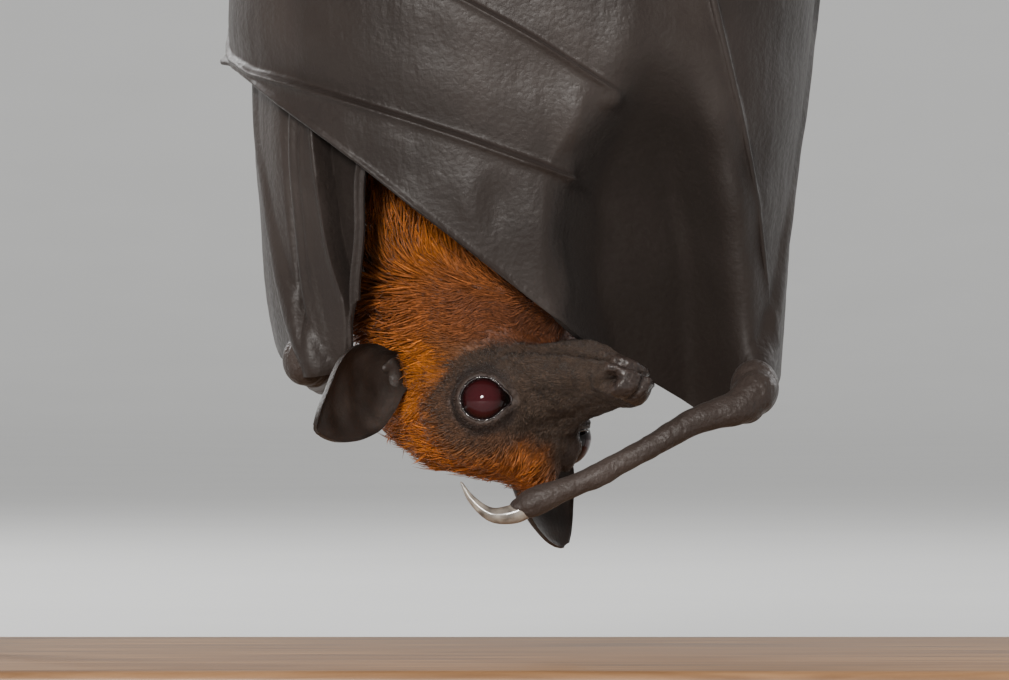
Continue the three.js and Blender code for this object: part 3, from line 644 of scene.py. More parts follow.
def arm_relief(sheet, fore, wrist_z, angle, z):
    """How far the skin bulges over the forearm: outwards, inwards."""
    span = np.linspace(wrist_z, ELBOW_Z, len(FOREARM_RADII))
    radius = np.interp(z, span, FOREARM_RADII) * (1 - smoothstep(ELBOW_Z, ELBOW_Z + 7, z))
    offset = (angle - fore(z)) * mm_per_degree(sheet, angle, z)
    height = np.sqrt(np.maximum(radius**2 - offset**2, 0))
    bulge = np.logaddexp(0, (height - ARM_DEPTH) / 0.35) * 0.35
    return bulge, np.where(height > 0, height + ARM_DEPTH * smoothstep(0, radius * 0.8, height), 0)


# Lines across the belly: the free margin, then the two finger bones over it
SLOPE_START_X, SLOPE_START_Z, MARGIN_SLOPE = 10.6, 71.8, 0.777
low_finger_z = curve_through((-57, -36, -14, 8.4, 24, 46), (124.4, 117.6, 110.5, 102.7, 98, 95))
high_finger_z = curve_through((-60, -34, -13.5, 1, 16.6, 30, 48), (161, 148, 137, 129, 119.5, 114, 110))
side_margin = curve_through((250, 262, 270, 280, 292, 305), (119, 124.2, 126.5, 134, 148, 163))


def margin_right(angle, z):
    x = right_sheet(angle, z)[..., 0]
    slope = SLOPE_START_Z - MARGIN_SLOPE * (x - SLOPE_START_X)
    by_wrist = np.maximum(SLOPE_START_Z - 0.6 * (x - SLOPE_START_X), 58)
    front = np.where(x < SLOPE_START_X, slope, by_wrist)
    return np.where(angle > 258, np.maximum(side_margin(angle), np.minimum(front, 124.6)), front)


def finger_line(line, rise):
    def read(angle, z):
        x = right_sheet(angle, z)[..., 0]
        return line(x) + rise * np.maximum(angle - 262, 0)
    return read


def top_edge(angle):
    return 283 + 4 * np.cos(np.radians(angle))


NEAR_LINE = np.array([-2.6, -1.8, -1.2, -0.8, -0.5, -0.25, 0, 0.2, 0.4, 0.7, 1.1, 1.7, 2.6])
SHOULDER_X, SHOULDER_Z = 25, 106.0
UPPER_ARM_RADII = (9.5, 7.6, 6.4, 5.4, 4.8)


def over_upper_arm(sheet, base, side):
    """How far the skin bulges over the upper arm, that runs under it from the shoulder to the elbow."""
    start = wrap_angle(side * SHOULDER_X, SHOULDER_Z, False)
    start = start if side > 0 else 360 - start
    share = np.linspace(0, 1, 9)
    heights = SHOULDER_Z + (ELBOW_Z - SHOULDER_Z) * share
    line = [sheet(np.array(start + (ELBOW_ANGLE - start) * s), np.array(h), -(6 + (ARM_DEPTH - 6) * s))
            for s, h in zip(share, heights)]
    radii = np.interp(share, np.linspace(0, 1, 5), UPPER_ARM_RADII)
    rise = np.zeros(base.shape[:-1])
    for gap, radius in along_line(base, line, radii):
        rise = np.maximum(rise, np.logaddexp(0, (radius - gap + 0.2) / 0.7) * 0.7)
    return rise


def swell_over(outer, inner, base, wrist, height):
    """Lifts the skin forwards over the wrist."""
    away = (base - np.array(wrist)) / np.array((7.5, 12, 9))
    lift = height * np.exp(-((away**2).sum(-1)))
    outer[..., 1] -= lift
    inner[..., 1] -= lift * 0.8


def beside_key(key, offset, on_left=False):
    """A line at a distance beside another, in millimetres."""
    def read(z):
        angle = key(z)
        return angle + offset / mm_per_degree(wrap_point, 360 - angle if on_left else angle, z)
    return read


HAND_BONE_Z = (66.0, 72.0, 78.0, 84.0, 90.0, 96.0, 104.0, 112.0, 120.0, 128.0, 137.0, 144.0, 150.0, 158.0)
HAND_BONE_RADII = (0.4, 0.55, 0.6, 0.6, 0.6, 0.6, 0.65, 0.75, 0.85, 0.9, 1, 1.1, 1.2, 1.3)
FORE_COLUMN, BONE_COLUMN = 55, 94  # the right wing's columns where its hand begins, and by its bone
TOP_AT = 250.0  # how much painted shade darkens the wings' inner side
INSIDE_SHADE = 0.7  # how downy the wings are inside
CUFF_Z, LEFT_LOW_Z = 98, 64.5  # heights of the wings' low edge, by the back and by the left wrist


def right_columns():
    """The right wing's columns, closer together by the forearm, the hand's bone and the fold."""

    def root(z):
        return wrap_angle(root_x(z), z, False)

    def within(z, x, share):
        middle, half = (wrap_left(z) + wrap_right(z)) / 2, (wrap_right(z) - wrap_left(z)) / 2
        return wrap_angle(np.minimum(x, middle + share * half), z, True)

    def bone(z):
        least = forearm_right(z) + 9.5 / mm_per_degree(wrap_point, forearm_right(z), z)
        return np.maximum(within(z, hand_bone_x(z), 0.82), least)

    def fold(z):
        return within(z, fold_x(z), 0.45)

    keys = [root]
    for line, half_width in ((forearm_right, 6), (bone, 2.6), (fold, 5)):
        keys += [beside_key(line, -half_width), beside_key(line, half_width)]
    keys += [lambda z: np.full(np.shape(z), SIDE_ANGLE), lambda z: np.full(np.shape(z), TIP_ANGLE)]
    return Columns(keys, (48, 14, 26, 14, 30, 14, 76, 26))


def right_heights(grid):
    """The height of each row on each column, then of the margin and the two finger bones."""
    column = grid.column

    def at(target):
        return solve_height(column, lambda c, z: target(grid.angle(c, z), z))

    margin = at(margin_right)
    low_line = np.maximum(at(finger_line(low_finger_z, 1.0)), margin + 1.9)
    high_line = np.maximum(at(finger_line(high_finger_z, 0.5)), low_line + 7)
    past_bone = np.clip((column - BONE_COLUMN) / (column[-1] - BONE_COLUMN), 0, 1)
    top = top_edge(grid.angle(column, TOP_AT)) - 26 * smoothstep(0.75, 1, past_bone)
    squeeze = np.clip((low_line - margin) / 7, 0.3, 1)
    heights = [margin + (low_line + NEAR_LINE[0] * squeeze - margin) * share for share in shares(30)]
    heights += [low_line + off * (squeeze if off < 0 else 1) for off in NEAR_LINE]
    start, end = low_line + NEAR_LINE[-1], high_line + NEAR_LINE[0]
    heights += [start + (end - start) * share for share in shares(22)[1:]]
    heights += [high_line + off for off in NEAR_LINE]
    start = high_line + NEAR_LINE[-1]
    heights += [start + (top - start) * share for share in np.append(shares(72)[1:], 1.0)]
    z = np.array(heights)

    # From the root to the forearm the rows spread between that part's own edges
    first_z = z[:, FORE_COLUMN]
    share = (first_z - first_z[0]) / (first_z[-1] - first_z[0])
    towards = smoothstep(0, 1, column[:FORE_COLUMN] / FORE_COLUMN)
    low_edge = CUFF_Z + (margin[FORE_COLUMN] - CUFF_Z) * towards
    z[:, :FORE_COLUMN] = low_edge + (top[:FORE_COLUMN] - low_edge) * share[:, None]
    return z, margin, low_line, high_line


def knob(base, centre, height, radius):
    return height * bell(np.linalg.norm(base - centre, axis=-1), radius)


def hand_relief(base, angle, margin, low_line, high_line, on_front, in_hand):
    """How far the hand's bones, knuckles, folds and creases stand out of the right wing."""
    x, z = base[..., 0], base[..., 2]
    bone_line = [right_sheet(wrap_angle(hand_bone_x(h), h, True), np.array(h)) for h in HAND_BONE_Z]
    relief = 0.8 * ridge_line(base, bone_line, HAND_BONE_RADII)
    for line, last_x, drop in ((low_line, 8.4, 2.3), (high_line, 16.6, 2.0)):
        above = z - line[None, :]
        along = smoothstep(last_x + 3, last_x - 4, x) * in_hand[None, :] * on_front
        size = 0.75 + 0.25 * np.cos((x - last_x) / 11)
        ridge = size * bell(above + 0.15, 0.75)
        tuck = drop * smoothstep(-0.1, 0.55, above) * np.exp(-np.maximum(above, 0) / 13)
        relief += along * (ridge - tuck * smoothstep(-59, -44, x))
        knob_z = np.interp(last_x, np.sort(x[0]), line[np.argsort(x[0])])
        relief += knob(base, right_sheet(wrap_angle(last_x, knob_z, True), np.array(float(knob_z))), 1.7, 2.3)
    relief += 1.3 * bell(z - 83, 8) * bell(x - 6.8, 1.5) * on_front
    panel = smoothstep(2, 8, z - margin[None, :]) * (1 - smoothstep(-8, -2, z - low_line[None, :]))
    slack = panel * smoothstep(-40, -10, x) * (1 - smoothstep(10, 22, x)) * on_front
    relief += 0.5 * slack * ripple(base, 9, 11, (1, 0.2, 0.45))
    relief += 0.3 * on_front * ripple(base, 17, 12, (0.5, 0.2, 1.2))
    relief += 0.09 * ripple(base, 6, 13, (1.0, 1.0, 0.35))
    pleats = np.sin(np.radians(angle) * 21 + 1.4 * ripple(base, 60, 14))
    relief += 0.75 * smoothstep(150, 262, z) * (pleats + 0.5 * np.sin(np.radians(angle) * 37))
    return relief + knob(base, right_sheet(np.array(268.0), np.array(125.5)), 2.2, 2.6)


def hand_bone():
    """A cord along the hand's bone, which sinks into the skin at its top."""
    heights = np.linspace(64, 180, 30)
    sunk = 2.4 * smoothstep(140, 180, heights) - 0.25
    radii = np.interp(heights, (64, 100, 130, 155, 180), (0.42, 0.5, 0.8, 0.95, 0.7))
    line = [(*(right_sheet(wrap_angle(hand_bone_x(h), h, True), np.array(h)) + (0.1, y, 0)), radius)
            for h, y, radius in zip(heights, sunk, radii)]
    return tube("hand_bone", line, 10, 150)


def build_right_wing():
    grid = right_columns()
    z, margin, low_line, high_line = right_heights(grid)
    angle = grid.angle(np.broadcast_to(grid.column, z.shape), z)
    base = right_sheet(angle, z)
    facing = face_out(base)
    x = base[..., 0]
    in_hand = grid.column >= FORE_COLUMN
    on_front = smoothstep(100, 112, angle) * (1 - smoothstep(SIDE_ANGLE, 275, angle))
    out_arm, in_arm = arm_relief(right_sheet, forearm_right, WRIST_RIGHT_Z, angle, z)
    in_arm = in_arm * (0.2 + 0.8 * smoothstep(104, 136, z))
    out_arm = out_arm + over_upper_arm(right_sheet, base, 1)
    relief = hand_relief(base, angle, margin, low_line, high_line, on_front, in_hand)
    hem = 0.55 * bell(z - margin[None, :] - 0.5, 0.6) * in_hand[None, :]
    outer = base + facing * (relief + out_arm + hem)[..., None]
    inner = base - facing * (WING_THICK + in_arm + hem * 0.4 - np.minimum(relief, 0) * 0.9)[..., None]
    swell_over(outer, inner, base, (45.5, -26, 63.5), 4.6)
    fold, bone_x = fold_x(z), hand_bone_x(z)
    # Painted shade: the hollow between the fold and the hand's bone is darkened, and the inner side too.
    dark = smoothstep(fold - 3, fold + 9, x) * (1 - smoothstep(bone_x - 9, bone_x - 2, x)) * on_front
    dark = dark * (1 - smoothstep(112, 140, z + 0.25 * (x - 20)))
    wing = shell_piece("wing_right", outer, inner)
    mark(wing, "painted_shade", np.concatenate([dark.ravel(), np.full(dark.size, INSIDE_SHADE)]))
    return joined(hand_bone(), wing)


def left_line(table_z, table_x):
    """A line down the left wing, through a table of heights and places across."""
    place = curve_through(table_z, table_x)

    def read(z):
        return 360 - wrap_angle(place(z), z, True)
    return read


ROD_Z = (66, 80.4, 91.6, 104, 150, 240)
left_crease = left_line((66, 82.9, 98, 113.7, 130), (-43.6, -46.6, -48.1, -49.2, -50))
left_rim = left_line((66, 77.6, 86, 97.4, 110.8, 130), (-36.4, -36.8, -39.2, -41.6, -43.4, -46))
left_rod = left_line(ROD_Z, (-34.6, -35.3, -34.3, -33.9, -25, -16))
left_edge = left_line(ROD_Z, (-33.4, -33.9, -32.9, -32.4, -22, -13))


def left_columns():
    """The left wing's columns, closer together by the crease, the rim and the rod at its edge."""

    def root(z):
        return 360 - wrap_angle(-root_x(z), z, False)

    def beyond(z):
        return np.minimum(beside_key(forearm_left, 4.2, True)(z), beside_key(left_crease, -0.9, True)(z))

    def past_rim(z):
        return np.minimum(beside_key(left_rim, 1.2, True)(z), 0.65 * left_rim(z) + 0.35 * left_rod(z))

    def before_rod(z):
        return np.maximum(beside_key(left_rod, -1.2, True)(z), 0.35 * left_rim(z) + 0.65 * left_rod(z))

    keys = [root, beside_key(forearm_left, -6, True), beyond, left_crease, left_rim, past_rim, before_rod,
            left_edge]
    return Columns(keys, (44, 16, 8, 18, 8, 12, 10))


def left_heights(grid):
    """The height of each row on each column of the left wing."""
    column, count = grid.column, len(grid.column)
    start = 54  # the column where the low edge is down by the wrist
    low = np.full(count, LEFT_LOW_Z)
    low[:start] = CUFF_Z + (LEFT_LOW_Z - CUFF_Z) * smoothstep(0, 0.88, column[:start] / start)
    low[start:] += np.linspace(0, 1.5, count - start)
    low += 13 * smoothstep(count - 24, count - 2, column)
    top = top_edge(grid.angle(column, TOP_AT)) - 16 * (column >= start)
    share = np.concatenate([np.linspace(0, 0.3, 80, endpoint=False), np.linspace(0.3, 1, 66)])
    return low + (top - low) * share[:, None]


def build_left_wing():
    sheet = left_sheet
    grid = left_columns()
    z = left_heights(grid)
    angle = grid.angle(np.broadcast_to(grid.column, z.shape), z)
    for _ in range(3):  # keeps the key lines from crossing where they meet
        angle[:, 1:] = np.maximum(angle[:, 1:], angle[:, :-1] + 0.05)
    base = sheet(angle, z)
    facing = face_out(base)
    out_arm, in_arm = arm_relief(sheet, forearm_left, WRIST_LEFT_Z, angle, z)
    in_arm = in_arm * (0.15 + 0.85 * smoothstep(104, 136, z))
    out_arm = out_arm + over_upper_arm(sheet, base, -1)
    shown = 1 - smoothstep(128, 150, z)
    past_crease, past_rim, past_rod = [
        (angle - line(z)) * mm_per_degree(sheet, angle, z) for line in (left_crease, left_rim, left_rod)]
    over_wrist = shown * smoothstep(67, 82, z)
    relief = -1.7 * over_wrist * bell(past_crease, 0.7)
    relief += 0.9 * over_wrist * bell(past_crease - 2.2, 1.2)
    relief += 0.4 * over_wrist * bell(past_crease - 4.6, 0.5)
    relief += 0.55 * shown * bell(past_rim + 0.3, 0.5)
    sunk = smoothstep(0, 0.9, past_rim) * (1 - smoothstep(-1.0, -0.3, past_rod)) * smoothstep(74, 84, z)
    relief -= 4.2 * sunk * shown
    relief += 0.8 * shown * bell(past_rod, 0.5)
    relief += 0.16 * ripple(base, 7, 23, (1, 1, 0.25))
    relief += 0.6 * smoothstep(150, 262, z) * np.sin(np.radians(angle) * 23 + ripple(base, 60, 24))
    outer = base + facing * (relief + out_arm)[..., None]
    inner = base - facing * (WING_THICK + in_arm - np.minimum(relief, 0) * 0.9)[..., None]
    swell_over(outer, inner, base, (-43.6, -22, 68), 3.8)
    wing = shell_piece("wing_left", outer, inner)
    # Painted shade: the sunken strip between the rim and the rod is darkened, and the inner side too.
    mark(wing, "painted_shade", np.concatenate([(sunk * shown).ravel(), np.full(sunk.size, INSIDE_SHADE)]))
    return wing


# --- wing skin -------------------------------------------------------------------------------------

def wing_finish(name, pale, grained):
    """Thin dark skin, paler and more grained where it is stretched over a thumb, and darker and rougher with
    painted shade where the piece marks it.
    """
    look = Finish(name)
    tones = ((0.3, (0.0125, 0.0086, 0.0070)), (0.52, (0.021, 0.0152, 0.0128)),
             (0.75, (0.037, 0.0283, 0.0245)))
    tone = look.ramp(look.noise(28, 6), [(place, [pale * part for part in t]) for place, t in tones])
    painted_shade = look.attribute("painted_shade")
    grain = look.noise(900, 3)
    wrinkle = look.noise(420, 4, look.stretched((1, 1, 0.22)))
    return look.finished(
        Base_Color=look.mixed(tone, (0.0105, 0.0066, 0.0048, 1), painted_shade),
        Roughness=look.times_plus(painted_shade, 0.35, look.spread(grain, 0.34, 0.62)),
        Normal=look.bump(look.times_plus(grain, 1, wrinkle), grained, 0.0005),
        Specular_IOR_Level=0.27, Sheen_Weight=0.02, Sheen_Roughness=0.5)


build_stand()
build_perch()
wing_skin, thumb_skin = wing_finish("wing_skin", 1, 0.36), wing_finish("thumb_skin", 1.7, 0.85)
finish_piece(build_right_wing(), "wing_right", wing_skin,
             ("arm_membrane_right", "fore_membrane_right", "hand_membrane_right", "forearm_right"), 60)
finish_piece(build_left_wing(), "wing_left", wing_skin,
             ("arm_membrane_left", "fore_membrane_left", "hand_membrane_left", "forearm_left"), 60)
# --- head, in its own directions: F to the nose, L to the bat's left, U to the crown ---------------

HEAD_AT = np.array((0.4, -25, 55.8))
HEAD_AXES = unit(np.array([(0.732, -0.675, 0.094), (-0.662, -0.674, 0.327), (-0.158, -0.302, -0.94)]))
HEAD_READ = np.linalg.inv(HEAD_AXES)
EYE_RADIUS, EYE_F, EYE_L, EYE_U = 5.6, -1, 11.2, -0.4
LOOK = unit(np.array((0.6, 0.77, 0.22)))  # the way the left eye faces
LID_OPEN = 47.5  # degrees from the eye's middle to the lids
LID_RADIUS = 6.15


def to_head(places):
    return (places - HEAD_AT) @ HEAD_READ


def from_head(f, l, u):
    return HEAD_AT + np.stack(np.broadcast_arrays(f, l, u), -1) @ HEAD_AXES


def headness(head_places):
    return smoothstep(-27, -19, head_places[..., 2])


coat_on_head = curve_through((-34, -15, -5, 5, 18, 29), (2.8, 2.4, 1.5, 0.8, 0.45, 0.3))


def coat_depth(places):
    """How far the skin lies under the coat's outline."""
    head = to_head(places)
    body = 3.2 - 2.1 * smoothstep(214, 232, places[:, 2])
    arm = smoothstep(27, 33, np.abs(places[:, 0])) * smoothstep(108, 118, places[:, 2])
    body = body * (1 - 0.5 * arm)
    share = headness(head)
    return body * (1 - share) + coat_on_head(head[:, 0]) * share


def eye_middle(side):
    return np.array((EYE_F, side * EYE_L, EYE_U))


def eye_distance(head):
    return np.minimum(*[np.linalg.norm(head - eye_middle(side), axis=1) for side in (-1, 1)])


def eye_frame(side):
    """An eye's middle, the way it looks, and across that the ways to the nose and over it."""
    look = LOOK * np.array((1, side, 1))
    to_nose = np.array((1.0, -0.12 * side, 0.02))
    nose = unit(to_nose - look * (to_nose @ look))
    return eye_middle(side), look, nose, np.cross(look, nose)


def lid_angle(turn):
    """The lids' opening round the eye, in degrees; turn 0 points to the nose."""
    corner = bell(np.angle(np.exp(1j * turn)), 0.33)
    back = bell(np.angle(np.exp(1j * (turn - math.pi))), 0.5)
    return LID_OPEN - 1.5 * np.abs(np.sin(turn)) + 20 * corner + 2 * back


def shape_lids(head, side):
    """Cuts the lids' opening into the head over an eye, with a lid that bulges round it."""
    middle, look, nose, over = eye_frame(side)
    away = head - middle
    reach = np.linalg.norm(away, axis=1)
    near = reach < 12
    way = away[near] / reach[near][:, None]
    angle = np.degrees(np.arccos(np.clip(way @ look, -1, 1)))
    turn = np.arctan2(way @ over, way @ nose)
    edge = lid_angle(turn)
    past = angle - edge
    snap = np.abs(past) < 3.2
    new_angle = np.where(snap, edge + 0.02 * past, angle)
    side_way = unit(nose * np.cos(turn)[:, None] + over * np.sin(turn)[:, None])
    rad = np.radians(new_angle)[:, None]
    way = look * np.cos(rad) + side_way * np.sin(rad)
    lid = LID_RADIUS + 0.12 * bell(past - 8, 6)
    outside = np.logaddexp(0, (reach[near] - lid) / 0.5) * 0.5 + lid
    blend = smoothstep(60, 38, past) * (angle < 115)
    outside = outside * blend + reach[near] * (1 - blend)
    new_reach = np.where(past < -3.2, 4.7, np.where(snap, 5.85 + 0.04 * past, outside))
    head[near] = np.where((angle < 115)[:, None], middle + way * new_reach[:, None], head[near])


mouth_line = curve_through((2, 6, 12, 20, 25, 28.5), (-8.4, -9.4, -9.7, -8.9, -7.9, -7.2))
MOUTH_WIDE = 0.42


def sculpt_head(places, facing):
    """Nostrils, mouth, brow, cheeks and the folds of the muzzle, then the lids."""
    head = to_head(places)
    out = facing @ HEAD_READ
    f, l, u = head.T
    share = headness(head)
    lift = np.zeros(len(f))
    muzzle = smoothstep(4, 9, f)
    line = u - mouth_line(f)
    on_lip = smoothstep(1.5, 4, f) * share
    lift -= 1.25 * on_lip * bell(line, MOUTH_WIDE)
    lift += 0.5 * on_lip * bell(line - 1.1, 0.8)
    lift += 0.35 * on_lip * bell(line + 1.2, 0.7)
    socket = eye_distance(head)
    round_eye = smoothstep(-9, -3, u + 0.4 * f) * smoothstep(7, -1, f)
    lift += 1.9 * share * bell(socket - 8.2, 3.4) * round_eye
    lift += 1.9 * bell(f - 0.5, 6.5) * smoothstep(4.5, 8.5, u)
    for side in (-1, 1):
        def mound(at_f, at_l, at_u, long, wide, high):
            across = ((f - at_f) / long) ** 2 + ((l - side * at_l) / wide) ** 2
            return np.exp(-(across + ((u - at_u) / high) ** 2))

        gap_f, gap_l, gap_u = f - 25.0, l - side * 5.2, u + 4.2
        hole = np.exp(-((gap_f / 1.7) ** 2 + (gap_l / 2.6) ** 2 + ((gap_u + 0.3 * gap_f) / 1.15) ** 2) ** 1.4)
        lift += 1.15 * mound(25.0, 5.2, -4.2, 3.1, 3.4, 2.6) - 3.9 * hole
        lift += 0.5 * mound(14, 7.4, -4.5, 6, 3, 2.2)
        lift -= 0.9 * mound(8, 8, -1.5, 3, 2.6, 3)  # the hollow before the eye
        lift += 0.4 * mound(-1, 8.6, 6.2, 4, 2.4, 2.2)  # the brow over it
    lift -= 0.9 * smoothstep(25, 27.5, f) * bell(l, 0.7) * smoothstep(-9, -6, u)
    bridge = smoothstep(3, 9, f) * smoothstep(25, 18, f) * smoothstep(-6, -1.5, u)
    lift -= 0.8 * bridge
    chin = bell(f - 16, 6) * smoothstep(-9, -12, u)
    lift += 1.9 * chin
    lift -= 0.35 * muzzle * bell(l, 1.2) * smoothstep(-3, 0, u) * smoothstep(24, 18, f)
    rows = np.sin(f * 2.1 + 0.5 * ripple(head, 8, 41)) * smoothstep(10, 15, f) * smoothstep(26, 22, f)
    lift += 0.015 * rows * share
    lift += 0.06 * ripple(head, 3.2, 42) * smoothstep(-2, 6, f) * share
    lift += 0.25 * ripple(head, 9, 43) * share
    head = head + out * (lift * share)[:, None]
    for side in (-1, 1):
        shape_lids(head, side)
    return HEAD_AT + head @ HEAD_AXES


RIM_SIDES, RIM_STEPS = 10, 120


def lid_rim(side):
    """The wet edge of the lids: a fine cord along their opening."""
    middle, look, nose, over = eye_frame(side)
    turns = np.linspace(0, 2 * math.pi, RIM_STEPS, endpoint=False)
    angle = np.radians(lid_angle(turns))[:, None]
    aside = nose * np.cos(turns)[:, None] + over * np.sin(turns)[:, None]
    way = look * np.cos(angle) + aside * np.sin(angle)
    path = middle + way * 5.78
    along = unit(np.roll(path, -1, 0) - np.roll(path, 1, 0))
    out = unit(way)
    flat = np.cross(along, out)
    ring = np.linspace(0, 2 * math.pi, RIM_SIDES, endpoint=False)
    radius = 0.25 + 0.05 * np.sin(turns * 3 + 1) + 0.05 * np.sin(turns * 23) + 0.03 * np.sin(turns * 41 + 2)
    grid = (path[:, None] + (out[:, None] * np.cos(ring)[None, :, None]
                             + flat[:, None] * np.sin(ring)[None, :, None]) * radius[:, None, None])
    quads = ring_quads(RIM_STEPS + 1, RIM_SIDES) % (RIM_STEPS * RIM_SIDES)
    return face_outwards(mesh_piece("lid_rim", from_head(*grid.reshape(-1, 3).T) * MM, quads.tolist()))


FLESH = ("head", "neck", "trunk", "leg_left", "leg_right", "upper_arm_left", "upper_arm_right")


def even_out(piece, where, times):
    """Smooths the part of a mesh whose places pass the test."""
    take(piece)
    bpy.ops.object.mode_set(mode="EDIT")
    bpy.ops.mesh.select_mode(type="VERT")
    bpy.ops.mesh.select_all(action="DESELECT")
    bpy.ops.object.mode_set(mode="OBJECT")
    piece.data.vertices.foreach_set("select", where(places_of(piece.data) / MM))
    bpy.ops.object.mode_set(mode="EDIT")
    bpy.ops.mesh.vertices_smooth(factor=0.6, repeat=times)
    bpy.ops.object.mode_set(mode="OBJECT")


def build_skin():
    skin = joined(*[copy_of(name) for name in FLESH])
    for side in (-1, 1):
        plug = ball(from_head(*eye_middle(side)), EYE_RADIUS + 0.2)
        skin = joined(plug, skin)
    skin = remeshed(skin, 1.0, 7)
    take(skin)
    bpy.ops.object.mode_set(mode="EDIT")
    bpy.ops.mesh.select_mode(type="FACE")
    bpy.ops.mesh.select_all(action="DESELECT")
    shape = bmesh.from_edit_mesh(skin.data)
    for face in shape.faces:
        f, l, u = to_head(np.array(face.calc_center_median()) / MM)
        face.select_set(bool(f > -9 and u > -19 and abs(l) < 24))
    bmesh.update_edit_mesh(skin.data)
    bpy.ops.mesh.subdivide(number_cuts=1, smoothness=0)
    bpy.ops.object.mode_set(mode="OBJECT")
    apply_modifier(skin, "SMOOTH", factor=0.5, iterations=3)
    places, facing = places_of(skin.data) / MM, normals_of(skin.data)
    places = places - facing * coat_depth(places)[:, None]
    set_places(skin.data, places * MM)
    even_out(skin, lambda p: (p[:, 2] > 84) & (p[:, 2] < 130) & (headness(to_head(p)) < 0.02), 90)
    apply_modifier(skin, "SMOOTH", factor=0.4, iterations=2)
    places, facing = places_of(skin.data) / MM, normals_of(skin.data)
    set_places(skin.data, sculpt_head(places, facing) * MM)
    return skin


# --- ears -------------------------------------------------------------------------------------------

EAR_BASE, EAR_TIP = np.array((-21.5, 14.2, -5.2)), np.array((-19.8, 36.1, 12.1))
EAR_WIDE, EAR_CUP = 14.6, 4.4
EAR_LOBES = ((-21.8, 17.8, -7.9, 1.5), (-22.1, 18.9, -6.5, 1.3), (-22.2, 16.4, -6.9, 1.9),
             (-22.5, 15.4, -5.2, 2.2), (-22.8, 14.6, -2.8, 2.2))
ear_outline = curve_through((0, 0.1, 0.24, 0.42, 0.65, 0.85, 0.95, 1),
                            (0.24, 0.62, 0.94, 1, 0.88, 0.58, 0.33, 0.12))


def build_ear(side):
    root = EAR_BASE * np.array((1, side, 1))
    along = EAR_TIP * np.array((1, side, 1)) - root
    length = np.linalg.norm(along)
    along = along / length
    forward = unit(np.array((1.0, 0, 0)) - along * along[0])
    across = np.cross(along, forward)
    t, s = np.meshgrid(np.linspace(0, 1, 60), np.linspace(-1, 1, 44), indexing="ij")
    half = EAR_WIDE / 2 * ear_outline(t)
    upper = smoothstep(-0.2, 0.6, s * side)
    half = half * (1 + 0.42 * upper * bell(t - 0.58, 0.34))
    half = half * (1 - 0.42 * smoothstep(0.1, -0.5, s * side) * smoothstep(0.5, 0.1, t))
    place = np.sin(s * 1.35) / math.sin(1.35) * half + side * 1.7 * (1 - smoothstep(0.3, 0.9, t))
    cup = EAR_CUP * ear_outline(t) * (1 - 0.6 * t)
    wave = 0.22 * np.sin(t * 24 + 2 * s) * (1 - np.abs(s)) * smoothstep(0.1, 0.4, t)
    rolled = 0.7 * smoothstep(0.8, 1, np.abs(s)) * (1 - t)
    middle = (root + along * (t * length - 4 * (1 - smoothstep(0, 0.15, t)))[..., None]
              + across * place[..., None]
              + forward * (cup * (s**2 - 0.5) + wave + rolled)[..., None])
    rib = 0.25 * bell(s, 0.12) * (1 - t)
    thick = 0.42 + 0.55 * smoothstep(0.35, 0, t) + 0.12 * smoothstep(0.85, 1, np.abs(s))
    front = middle + forward * thick[..., None]
    back = middle - forward * (thick + rib)[..., None]
    ear = shell_piece("ear", from_head(*np.moveaxis(front, -1, 0)), from_head(*np.moveaxis(back, -1, 0)))
    lobes = [ball(from_head(f, side * l, u), radius) for f, l, u, radius in EAR_LOBES]
    lobe = remeshed(joined(*lobes), 0.4, 20)
    return joined(lobe, ear)


# --- eyes -------------------------------------------------------------------------------------------

def build_eye(side):
    middle, look, nose, over = eye_frame(side)
    bpy.ops.mesh.primitive_uv_sphere_add(segments=96, ring_count=64, radius=EYE_RADIUS)
    eye = bpy.context.object
    places = places_of(eye.data)
    height = places[:, 2] / EYE_RADIUS
    places = places * (1 + 0.035 * smoothstep(0.55, 1.0, height))[:, None]
    turned = places[:, :1] * nose + places[:, 1:2] * over + places[:, 2:] * look
    set_places(eye.data, from_head(*(middle + turned).T) * MM)
    face_outwards(eye)
    mark(eye, "gaze", np.degrees(np.arccos(np.clip(height, -1, 1))))
    return eye


# --- thumbs, claws and feet ---------------------------------------------------------------------------

THUMB_RIGHT = [(44.4, -31.5, 61.5, 4.2), (41, -33.5, 58.6, 3.5), (36.5, -34.9, 57.2, 2.95),
               (32, -36, 55.6, 2.65), (24, -37.6, 51, 2.25), (19, -38.1, 48.3, 2.2),
               (14.4, -38.4, 45.8, 2.35), (10.4, -38.5, 44, 2.15), (6.6, -38.6, 42.4, 2.35),
               (3.4, -38.5, 41.2, 2.75), (0.6, -38.4, 40, 2.75), (-1, -38.4, 39.4, 2.1)]
THUMB_LEFT = [(-42, -21, 66.4, 3.9), (-40.4, -18, 65.6, 3.3), (-40.6, -8, 64, 2.6),
              (-39.9, -3, 63.3, 2.5), (-38.6, 2, 62.6, 2.15), (-32.6, 10.6, 61.4, 2.1),
              (-27.6, 14.4, 60.8, 2.6), (-24.6, 15.8, 60.6, 2.0)]
CLAW_RIGHT = [(1.4, -38.4, 40.2, 2.0), (-1.2, -38.4, 38.5, 1.95), (-3.6, -38.4, 37.9, 1.75),
              (-6, -38.3, 37.9, 1.45), (-8.2, -38.2, 39, 1.1), (-10.6, -38, 41.4, 0.7),
              (-12.2, -37.8, 44.1, 0.22)]
CLAW_LEFT = [(-25.8, 15.2, 60.6, 1.9), (-22.8, 16.8, 60.6, 1.75), (-20, 17.6, 61, 1.5),
             (-17.6, 17.2, 61.8, 1.2), (-15.6, 16.4, 63, 0.85), (-14.2, 13.8, 65.4, 0.22)]
WRIST_RIGHT = [((44.2, -28.6, 62.2), 5.0, (0.95, 0.9, 1.1)), ((42.2, -31.2, 58.9), 4.1, (1, 0.9, 0.9))]
WRIST_LEFT = [((-42.6, -21, 67.6), 4.6, (0.95, 1, 1.1)), ((-41, -19, 65.6), 3.7, (1, 1, 0.95))]
